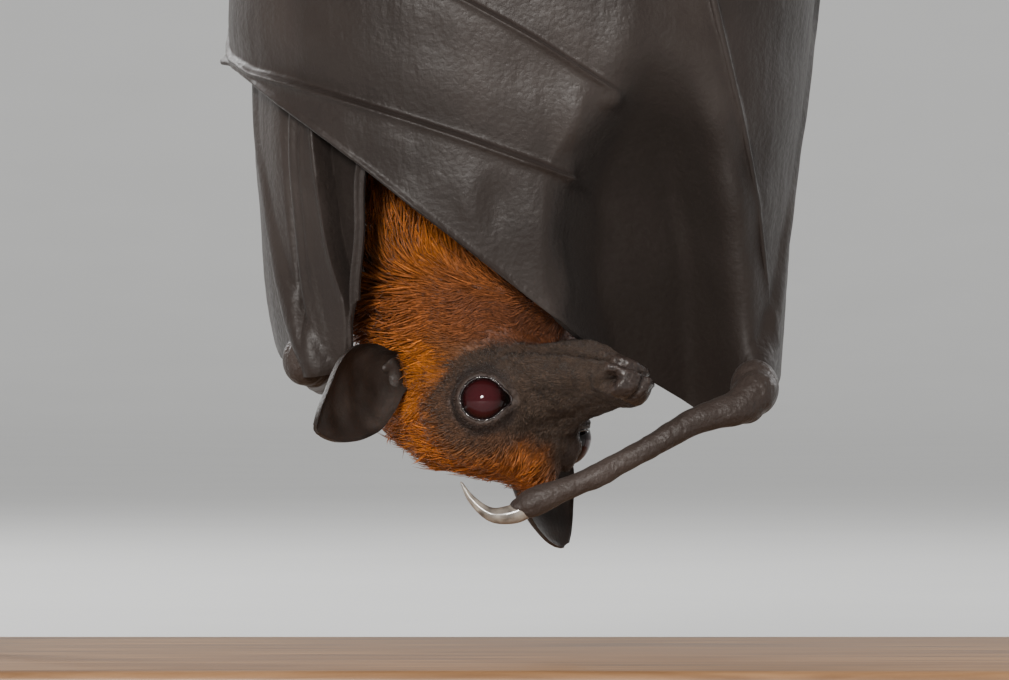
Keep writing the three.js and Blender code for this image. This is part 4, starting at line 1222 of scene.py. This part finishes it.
ACROSS_RIGHT, ACROSS_LEFT = (0, 1, 0), (0, 0.59, 0.81)


def knuckled(p):
    return 0.07 * ripple(p, 2.4, 51, (1, 0.3, 1)) + 0.07 * ripple(p, 1.2, 52) + 0.06 * ripple(p, 6, 53)


def build_thumb(stations, wrist, across):
    thumb = tube("thumb", stations, 26, 120, across=across, wobble=knuckled)
    lumps = [ball(place, radius, squash) for place, radius, squash in wrist]
    return remeshed(joined(*lumps, thumb), 0.42, 4, 0.4)


ANKLE = (14.5, 15.5, 299)
TOES = 5
# Round the perch: degrees, gap between the toes, height over the bark, and width of the toe
TOE_STATIONS = ((-4, 2.4, 2.9, 1.45), (10, 2.55, 3.0, 1.5), (24, 2.75, 2.6, 1.3), (38, 2.9, 2.6, 1.35),
                (52, 3.05, 2.7, 1.6), (66, 3.15, 2.4, 1.35), (82, 3.2, 2.3, 1.4), (96, 3.25, 2.4, 1.6),
                (104, 3.3, 2.2, 1.3))
TOE_CLAW_STATIONS = ((98, 2.3, 1.2), (110, 2.6, 1.2), (122, 2.6, 1.05), (134, 2.3, 0.85), (146, 1.8, 0.55),
                     (158, 1.0, 0.16))


def round_perch(x, degrees, lift):
    reach, turn = PERCH_RADIUS + lift, math.radians(degrees)
    return (x, PERCH_Y + reach * math.cos(turn), PERCH_Z + reach * math.sin(turn))


def toe_x(side, toe, gap):
    return side * ANKLE[0] + (toe - (TOES - 1) / 2) * gap


def build_foot(side):
    x, y, z = side * ANKLE[0], ANKLE[1], ANKLE[2]
    sole = tube("sole", [(x, y, z - 6, 2.7, 2.7), (x, y, z - 1, 3.0, 2.8), (x, y + 0.4, z + 5, 4.8, 2.8),
                         (x, y + 0.2, PERCH_Z - 4, 6.0, 2.3), (*round_perch(x, 12, 2.9), 6.3, 1.9)], 30, 40,
                wobble=lambda p: 0.12 * ripple(p, 2.5, 61))
    toes = []
    for toe in range(TOES):
        stations = [(*round_perch(toe_x(side, toe, gap), degrees, lift), wide)
                    for degrees, gap, lift, wide in TOE_STATIONS]
        toes.append(tube("toe", stations, 16, 70, wobble=lambda p: 0.07 * ripple(p, 1.3, 62)))
    return joined(*toes, remeshed(sole, 0.6, 2, 0.4))


def build_toe_claw(side, toe):
    x = toe_x(side, toe, 3.3)
    stations = [(*round_perch(x, degrees, lift), wide, wide * 1.15)
                for degrees, lift, wide in TOE_CLAW_STATIONS]
    return tube("claw", stations, 16, 36)


# --- finishes of the skin, eyes and claws ------------------------------------------------------------

ORANGE = np.array((0.40, 0.122, 0.014))
RUST = np.array((0.17, 0.045, 0.009))
GREY_BROWN = np.array((0.062, 0.042, 0.031))
DARK_BROWN = np.array((0.032, 0.018, 0.011))
LID_SKIN = np.array((0.040, 0.028, 0.024))
NOSE_SKIN = np.array((0.034, 0.026, 0.025))


def blend(first, second, share):
    return first * (1 - share[:, None]) + second * share[:, None]


def markings(places):
    """The coat's and the skin's colour at a place on the body."""
    head = to_head(places)
    f, l, u = head.T
    x, y, z = places.T
    share = headness(head)
    patch = 0.5 + 0.5 * ripple(places, 13, 71)
    orange, brown = np.tile(ORANGE, (len(f), 1)), np.tile(DARK_BROWN, (len(f), 1))
    mantle = blend(orange, RUST, 0.12 + 0.3 * patch)
    shaded = smoothstep(-20, 14, x + 5 * (patch - 0.5)) * smoothstep(-2, -14, y)
    mantle = blend(mantle, 0.85 * RUST + 0.25 * GREY_BROWN, 0.8 * shaded)
    back = blend(brown, RUST, 0.25 * patch)
    body = blend(mantle, back, smoothstep(106, 142, z + 9 * (patch - 0.5)))
    crown = smoothstep(2.5, 7.5, u + 0.8 * ripple(places, 7, 72)) * smoothstep(13, 4, f)
    face = smoothstep(-13.5, -1.5, f + 1.2 * ripple(places, 6, 73) - 2.5 * smoothstep(-6, 0, u))
    face = np.maximum(face * (1 - 0.88 * crown), smoothstep(-8, 4, f) * smoothstep(-6, -12, u))
    top = blend(orange * (0.8 + 0.3 * patch)[:, None], RUST, 0.25 * patch)
    tone = blend(top, GREY_BROWN, face)
    tone = blend(tone, RUST + 0.3 * GREY_BROWN, 0.75 * smoothstep(-9, -15, u) * smoothstep(12, 2, f))
    for side in (-1, 1):
        reach = np.linalg.norm(head - eye_middle(side), axis=1) + 0.5 * ripple(places, 3, 74)
        tone = blend(tone, GREY_BROWN, 0.85 * smoothstep(12.0, 8.0, reach))
        tone = blend(tone, LID_SKIN, 0.8 * smoothstep(7.6, 6.3, reach))
    tone = blend(tone, NOSE_SKIN, 0.75 * smoothstep(23.5, 26, f))
    return blend(body, tone, share)


def wetness(places):
    """Where the bare skin shines: the nose and the edges of the lids."""
    head = to_head(places)
    nose = smoothstep(22.5, 25.5, head[:, 0])
    return np.maximum(nose, 0.3 * smoothstep(6.9, 6.2, eye_distance(head)))


def paint(piece, colours, wet=None):
    """Gives each place of a piece its markings; their alpha is low where the piece is wet."""
    layer = piece.data.color_attributes.new("markings", "FLOAT_COLOR", "POINT")
    full = np.ones((len(colours), 4))
    if wet is not None:
        full[:, 3] = 1 - wet
    full[:, :3] = colours
    layer.data.foreach_set("color", full.ravel())


def skin_finish():
    """Skin under the coat, in the coat's markings darkened by painted shade for the gaps between the locks,
    and shinier where it is wet.
    """
    look = Finish("furred_skin")
    fleck = look.noise(1300, 4)
    # The markings are darkened in random flecks to 0.38-0.95, a painted shade for the gaps between the locks.
    shade = look.ramp(fleck, [(0.3, (0.38, 0.36, 0.35)), (0.7, (0.95, 0.92, 0.88))])
    dry = look.times_plus(look.attribute("markings", "Alpha"), 0.62, 0.38)
    rough = look.node("Math", 0, {0: look.spread(fleck, 0.42, 0.75), 1: dry}, operation="MULTIPLY")
    return look.finished(
        Base_Color=look.mixed(look.attribute("markings", "Color"), shade, 1, "MULTIPLY"),
        Roughness=rough, Normal=look.bump(fleck, 0.7, 0.0005), Specular_IOR_Level=0.32)


IRIS_EDGE = 60  # degrees from the middle of the gaze
IRIS_TONES = [(0.0, (0.036, 0.0062, 0.0082)), (0.42, (0.032, 0.0056, 0.0068)),
              (0.60, (0.023, 0.0042, 0.0046)), (0.76, (0.006, 0.0022, 0.0022)), (1.0, (0.003, 0.0022, 0.002))]


def eye_finish():
    look = Finish("wet_eye")
    reach = look.node("MapRange", "Result", {"Value": look.attribute("gaze"), "From Max": IRIS_EDGE})
    clouded = look.times_plus(look.noise(700, 4), 0.08, reach)
    return look.finished(Base_Color=look.ramp(clouded, IRIS_TONES), Roughness=0.03, Specular_IOR_Level=0.22)


def lid_finish():
    look = Finish("wet_lid")
    cloud = look.noise(900)
    tone = look.ramp(cloud, [(0.35, (0.006, 0.004, 0.004)), (0.65, (0.020, 0.012, 0.011))])
    return look.finished(Base_Color=tone, Roughness=0.08, Normal=look.bump(cloud, 0.7, 0.0004),
                         Specular_IOR_Level=0.8)


def horn_finish():
    look = Finish("horn")
    streak = look.noise(380, 5)
    tone = look.ramp(streak, [(0.3, (0.06, 0.05, 0.042)), (0.5, (0.17, 0.145, 0.12)),
                              (0.75, (0.33, 0.29, 0.24))])
    return look.finished(Base_Color=tone, Roughness=0.22, Normal=look.bump(streak, 0.12, 0.0003),
                         Coat_Weight=0.3)


def ear_finish():
    look = Finish("ear_skin")
    vein = look.noise(160, 6)
    tone = look.ramp(vein, [(0.3, (0.011, 0.008, 0.0065)), (0.55, (0.023, 0.0165, 0.0135)),
                            (0.8, (0.046, 0.033, 0.027))])
    return look.finished(
        Base_Color=tone, Roughness=look.spread(vein, 0.36, 0.6),
        Normal=look.bump(look.noise(1500), 0.35, 0.0003), Specular_IOR_Level=0.32,
        Subsurface_Weight=0.12, Subsurface_Radius=(0.0012, 0.0005, 0.0003))


skin = build_skin()
skin_places = places_of(skin.data) / MM
paint(skin, markings(skin_places), wetness(skin_places))
finish_piece(skin, "skin", skin_finish(), FLESH, 180)
wet_lid, bare_ear, horn, wet_eye = lid_finish(), ear_finish(), horn_finish(), eye_finish()
for side, name in ((1, "left"), (-1, "right")):
    finish_piece(lid_rim(side), f"lid_rim_{name}", wet_lid, (), 180)
    finish_piece(build_ear(side), f"ear_skin_{name}", bare_ear, (f"ear_{name}",), 60)
    finish_piece(build_eye(side), f"eyeball_{name}", wet_eye, (f"eye_{name}",), 180)
for name, stations, wrist, across in (("right", THUMB_RIGHT, WRIST_RIGHT, ACROSS_RIGHT),
                                      ("left", THUMB_LEFT, WRIST_LEFT, ACROSS_LEFT)):
    thumb = build_thumb(stations, wrist, across)
    finish_piece(thumb, f"thumb_skin_{name}", thumb_skin, (f"thumb_{name}",), 180)
for name, stations, steps, across in (("right", CLAW_RIGHT, 70, ACROSS_RIGHT),
                                      ("left", CLAW_LEFT, 60, ACROSS_LEFT)):
    claw = tube("claw", stations, 28, steps, across=across)
    finish_piece(claw, f"thumb_claw_horn_{name}", horn, (f"thumb_claw_{name}",), 60)
for side, name in ((-1, "left"), (1, "right")):
    finish_piece(build_foot(side), f"foot_skin_{name}", thumb_skin, (f"foot_{name}",), 60)
    for toe in range(TOES):
        finish_piece(build_toe_claw(side, toe), f"claw_horn_{name}_{toe + 1}", horn,
                     (f"claw_{name}_{toe + 1}",), 60)


# --- the coat: thin joined locks that lie along the body ---------------------------------------------

chance = np.random.default_rng(47)
length_on_head = curve_through((-36, -22, -14, -6, 2, 10, 18, 25), (9, 7.0, 5.0, 3.2, 2.3, 1.7, 1.25, 0.8))


def coat_length(places):
    """How long the hair is, in millimetres."""
    head = to_head(places)
    f, l, u = head.T
    x, y, z = places.T
    share = headness(head)
    body = 10 - 1.5 * smoothstep(112, 135, z) - 4.2 * smoothstep(205, 250, z) - 1.8 * smoothstep(262, 292, z)
    arm = smoothstep(27, 33, np.abs(x)) * smoothstep(108, 118, z)
    body = body * (1 - 0.4 * arm)
    on_crown = smoothstep(3, 8, u) * smoothstep(8, 2, f) * smoothstep(-22, -10, f)
    on_head = length_on_head(f) * (1 + 0.7 * on_crown)
    on_head = on_head * (1 + 0.35 * smoothstep(-8, -14, u) * smoothstep(12, 2, f))
    on_head = on_head * (0.40 + 0.60 * smoothstep(6.2, 10.0, eye_distance(head)))
    return body * (1 - share) + on_head * share


def past_lids(head):
    """From 0 on the eyes and the edges of the lids to 1 beyond them."""
    share = np.ones(len(head))
    for side in (-1, 1):
        middle, look, nose, over = eye_frame(side)
        away = head - middle
        way = unit(away)
        angle = np.degrees(np.arccos(np.clip(way @ look, -1, 1)))
        past = angle - lid_angle(np.arctan2(way @ over, way @ nose))
        near = np.linalg.norm(away, axis=1) < 9
        share = np.where(near, np.minimum(share, smoothstep(3, 10, past)), share)
    return share


def coat_lie(places, facing):
    """The way the hair lies along the skin."""
    head = to_head(places)
    share = headness(head)[:, None]
    back = np.tile(np.array((0.0, 0.0, 1.0)), (len(places), 1))
    back[:, 0] += 0.25 * np.sin(np.arctan2(places[:, 0], places[:, 1] - 8))
    to_back = np.tile(-HEAD_AXES[0], (len(places), 1))
    for side in (-1, 1):
        away = head - eye_middle(side)
        reach = np.linalg.norm(away, axis=1)
        push = (1.6 * bell(reach, 8.5))[:, None]
        to_back = to_back + push * (unit(away) @ HEAD_AXES)
    by_chin = smoothstep(2, -10, head[:, 2])[:, None]
    out = to_back + 0.45 * np.abs(facing[:, 2:]) * np.array((0, 0, 1.0)) * by_chin
    drift = np.stack([ripple(places, 11, 80 + k) for k in range(3)], -1)
    way = back * (1 - share) + out * share + 0.30 * drift
    return unit(way - facing * (way * facing).sum(1, keepdims=True))


def in_the_open(places, facing, covers):
    """The share of outward lines from each place that meet no cover."""
    ways = unit(np.array([(0, 0, 1.0), (1, 0, 0.7), (-1, 0, 0.7), (0, 1, 0.7), (0, -1, 0.7), (0.8, 0.8, 0.35),
                          (-0.8, 0.8, 0.35), (0.8, -0.8, 0.35), (-0.8, -0.8, 0.35)]))
    side = unit(np.cross(facing, np.array((0.3, 0.5, 0.81))))
    other = np.cross(facing, side)
    share = np.zeros(len(places))
    for way in ways:
        lines = side * way[0] + other * way[1] + facing * way[2]
        for i in range(len(places)):
            start = Vector((places[i] + facing[i] * 0.5) * MM)
            share[i] += covers.ray_cast(start, Vector(lines[i]), 0.3)[0] is None
    return share / len(ways)


# A lock's rings, from root to tip: their places along it, widths and painted shades, darkest at the root,
# then the painted light on the tip
LONG_LOCK = ((0.0, 0.36, 0.72), (0.75, 1.0, 0.58), (0.58, 0.88, 1.05), 1.2)
SHORT_LOCK = ((0.0, 0.45), (0.85, 0.9), (0.5, 0.85), 1.0)
MOST_LOCKS = 108000


def lock_width(length):
    return 0.065 + 0.0175 * length


def lock_faces(rings):
    """The triangles of one lock: its closed root, its sides and its tip."""
    faces = [(0, 2, 1)]
    for ring in range(rings - 1):
        for corner in range(3):
            a, b = 3 * ring + corner, 3 * ring + (corner + 1) % 3
            faces += [(a, b, b + 3), (a, b + 3, a + 3)]
    last = 3 * (rings - 1)
    faces += [(last + corner, last + (corner + 1) % 3, last + 3) for corner in range(3)]
    return np.array(faces)


def locks_piece(name, roots, facing, lie, length, colours, spots, form):
    """One mesh of closed, three-sided, tapering locks."""
    count = len(roots)
    along, profile, shades, tip_shade = form
    side = np.cross(facing, lie)
    wide = lock_width(length) * chance.uniform(0.75, 1.3, count)
    lift = chance.uniform(0.15, 0.42, count)
    lift = lift * (1 + 0.5 * smoothstep(3, 8, to_head(roots)[:, 2]) * headness(to_head(roots)))
    lift = lift * (1 + 0.5 * smoothstep(3.5, 1.5, length))
    beside_wing = smoothstep(66, 72, roots[:, 2]) * smoothstep(110, 98, roots[:, 2])
    beside_wing = beside_wing * smoothstep(-16, -22, roots[:, 0])
    lift = lift + 0.85 * beside_wing * chance.uniform(0.3, 1, count)
    curl = chance.normal(0, 0.12, count)
    gather = np.stack([ripple(roots, 2.6, 90 + k) for k in range(3)], -1) * (0.13 * length)[:, None]

    def place_at(t):
        rise = (lift * t - 0.72 * lift * t * t) * length - np.minimum(0.25, 0.02 + 0.04 * length)
        bend = curl * t * t * length
        return (roots + lie * (length * t)[:, None] + facing * rise[:, None] + side * bend[:, None]
                + gather * (t * t)[:, None])

    points, tones, marks = [], [], []
    # Each ring takes the lock's colour times its painted shade; the tip takes the painted light.
    for t, fat, dark in zip(along, profile, shades):
        middle = place_at(np.full(count, t))
        for corner in range(3):
            angle = 2 * math.pi * (corner + 0.25) / 3
            points.append(middle + side * (wide * fat * math.cos(angle))[:, None]
                          + facing * (wide * 0.6 * fat * math.sin(angle))[:, None])
            tones.append(colours * dark)
            marks.append(spots + 0.0012 * np.array((math.cos(angle), 2 * t - 0.7)))
    points.append(place_at(np.ones(count)))
    tones.append(colours * tip_shade)
    marks.append(spots + np.array((0, 0.0015)))
    places = np.stack(points, 1)
    per = places.shape[1]
    corners = (lock_faces(len(along))[None] + (np.arange(count) * per)[:, None, None]).reshape(-1)
    mesh = bpy.data.meshes.new(name)
    mesh.vertices.add(count * per)
    mesh.vertices.foreach_set("co", (places * MM).ravel())
    mesh.loops.add(len(corners))
    mesh.loops.foreach_set("vertex_index", corners.astype(np.int32))
    mesh.polygons.add(len(corners) // 3)
    mesh.polygons.foreach_set("loop_start", np.arange(0, len(corners), 3, dtype=np.int32))
    mesh.update(calc_edges=True)
    uv = mesh.uv_layers.new(name="OFBake")
    uv.data.foreach_set("uv", np.stack(marks, 1).reshape(-1, 2)[corners].ravel())
    piece = linked(name, mesh)
    paint(piece, np.stack(tones, 1).reshape(-1, 3))
    return piece


def coat_finish(name, gloss):
    look = Finish(name)
    fleck = look.noise(1500, 2)
    shade = look.ramp(fleck, [(0.3, (0.7, 0.68, 0.66)), (0.7, (1.2, 1.16, 1.12))])
    return look.finished(
        Base_Color=look.mixed(look.attribute("markings", "Color"), shade, 1, "MULTIPLY"),
        Roughness=look.spread(fleck, gloss, gloss + 0.2), Specular_IOR_Level=0.2, Sheen_Weight=0.04,
        Sheen_Roughness=0.4)


PROBES = 7000


def skin_triangles():
    """For each triangle of the skin, its corners' places, facings and flat marks."""
    take(skin)
    mesh = skin.data
    mesh.uv_layers.new(name="OFBake")
    bpy.ops.object.mode_set(mode="EDIT")
    bpy.ops.mesh.select_all(action="SELECT")
    bpy.ops.uv.smart_project(angle_limit=math.radians(66), island_margin=0.004)
    bpy.ops.object.mode_set(mode="OBJECT")
    mesh.calc_loop_triangles()
    index = np.empty(len(mesh.loop_triangles) * 3, np.int32)
    loops = np.empty(len(mesh.loop_triangles) * 3, np.int32)
    mesh.loop_triangles.foreach_get("vertices", index)
    mesh.loop_triangles.foreach_get("loops", loops)
    marks = np.empty(len(mesh.loops) * 2)
    mesh.uv_layers["OFBake"].data.foreach_get("uv", marks)
    index, loops = index.reshape(-1, 3), loops.reshape(-1, 3)
    return (places_of(mesh) / MM)[index], normals_of(mesh)[index], marks.reshape(-1, 2)[loops]


def cover_tree(covering):
    points, flat = [], []
    for piece in covering:
        piece.data.calc_loop_triangles()
        index = np.empty(len(piece.data.loop_triangles) * 3, np.int32)
        piece.data.loop_triangles.foreach_get("vertices", index)
        flat.append(index.reshape(-1, 3) + sum(len(p) for p in points))
        points.append(places_of(piece.data))
    return BVHTree.FromPolygons(np.concatenate(points).tolist(), np.concatenate(flat).tolist())


def open_shares(middle, facing, area, covers):
    """How open the air over each triangle is, from the nearest of a number of probes."""
    probes = chance.choice(len(middle), PROBES, p=area / area.sum())
    seen = in_the_open(middle[probes], facing[probes], covers)
    tree = KDTree(PROBES)
    for i, place in enumerate(middle[probes]):
        tree.insert(place, i)
    tree.balance()
    return np.array([np.mean([seen[j] for _, j, _ in tree.find_n(place, 4)]) for place in middle])


def lock_counts(middle, area, open_share):
    """How many locks each triangle of the skin should carry."""
    head = to_head(middle)
    share = headness(head)
    length = coat_length(middle)
    bare = past_lids(head) * (1 - share * smoothstep(24.2, 25.2, head[:, 0]))
    bare = bare * smoothstep(297, 290, middle[:, 2])
    cover = (5.0 - 2.4 * smoothstep(112, 130, middle[:, 2])) * (1 - share)
    cover = cover + (3.2 + 2.2 * smoothstep(0, -16, head[:, 0])) * share
    return area * cover * bare * smoothstep(0.02, 0.2, open_share) / (length * lock_width(length))


def stopped_short(roots, facing, lie, length, covers):
    """The locks' lengths, cut so that none runs into a cover."""
    for i in range(len(roots)):
        start = Vector((roots[i] + facing[i] * 0.1) * MM)
        way = Vector(lie[i] + 0.25 * facing[i]).normalized()
        reach = covers.ray_cast(start, way, length[i] * 1.2 * MM)[3]
        if reach is not None:
            length[i] = min(length[i], 0.8 * reach / MM)
    return length


def build_coat(covering):
    corners, facings, marks = skin_triangles()
    middle, facing = corners.mean(1), unit(facings.mean(1))
    area = np.linalg.norm(np.cross(corners[:, 1] - corners[:, 0], corners[:, 2] - corners[:, 0]), axis=1) / 2
    covers = cover_tree(covering)
    weight = lock_counts(middle, area, open_shares(middle, facing, area, covers))
    total = int(min(weight.sum(), MOST_LOCKS))
    steps = (np.arange(total) + chance.uniform(0, 1, total)) / total * weight.sum()
    pick = np.clip(np.searchsorted(np.cumsum(weight), steps), 0, len(area) - 1)
    mix = chance.dirichlet((1, 1, 1), total)[:, :, None]
    roots = (corners[pick] * mix).sum(1)
    facing = unit((facings[pick] * mix).sum(1))
    spots = (marks[pick] * mix).sum(1)
    lie = coat_lie(roots, facing)
    turn = chance.normal(0, 0.16, total)
    lie = lie * np.cos(turn)[:, None] + np.cross(facing, lie) * np.sin(turn)[:, None]
    length = coat_length(roots) * chance.uniform(0.7, 1.2, total)
    length = stopped_short(roots, facing, lie, length, covers)
    keep = length > 0.35
    roots, facing, lie, length, spots = (a[keep] for a in (roots, facing, lie, length, spots))
    uneven = 0.1 + 0.11 * smoothstep(1.5, 6, length)
    colours = markings(roots) * np.exp(chance.normal(0, 1, len(roots)) * uneven)[:, None]
    # A few locks at random are made lighter: a painted highlight for glints on the coat.
    painted_glint = chance.uniform(0, 1, len(roots)) < 0.06
    colours[painted_glint] *= 1.6
    head = to_head(roots)
    on_head, low = headness(head) > 0.5, roots[:, 2] < 124
    short = on_head & (coat_length(roots) < 3.4)
    long_fur, short_fur = coat_finish("long_fur", 0.34), coat_finish("short_fur", 0.42)
    groups = (("coat_face", "face_fur", short, SHORT_LOCK, short_fur, 19000, -head[:, 0]),
              ("coat_crown", "face_fur", ~short & on_head, LONG_LOCK, long_fur, 12000, head[:, 0]),
              ("coat_mantle", "mantle_fur", ~on_head & low, LONG_LOCK, long_fur, 12000, roots[:, 2]),
              ("coat_body", "body_fur", ~on_head & ~low, LONG_LOCK, long_fur, 12000, roots[:, 2]))
    for name, slot, chosen, form, fur, most, order in groups:
        chosen = np.nonzero(chosen)[0]
        chosen = chosen[np.argsort(order[chosen])]
        for part, some in enumerate(np.array_split(chosen, max(1, math.ceil(len(chosen) / most)))):
            piece = locks_piece(f"{name}_{part + 1}", roots[some], facing[some], lie[some], length[some],
                                colours[some], spots[some], form)
            piece.data.materials.append(fur)
            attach(piece, "root")


build_coat([bpy.data.objects[name] for name in (
    "wing_right", "wing_left", "thumb_skin_right", "thumb_skin_left", "ear_skin_left", "ear_skin_right",
    "thumb_claw_horn_right", "thumb_claw_horn_left", "perch_branch", "foot_skin_left", "foot_skin_right")])


# --- the end ---------------------------------------------------------------------------------------

clear_selection()
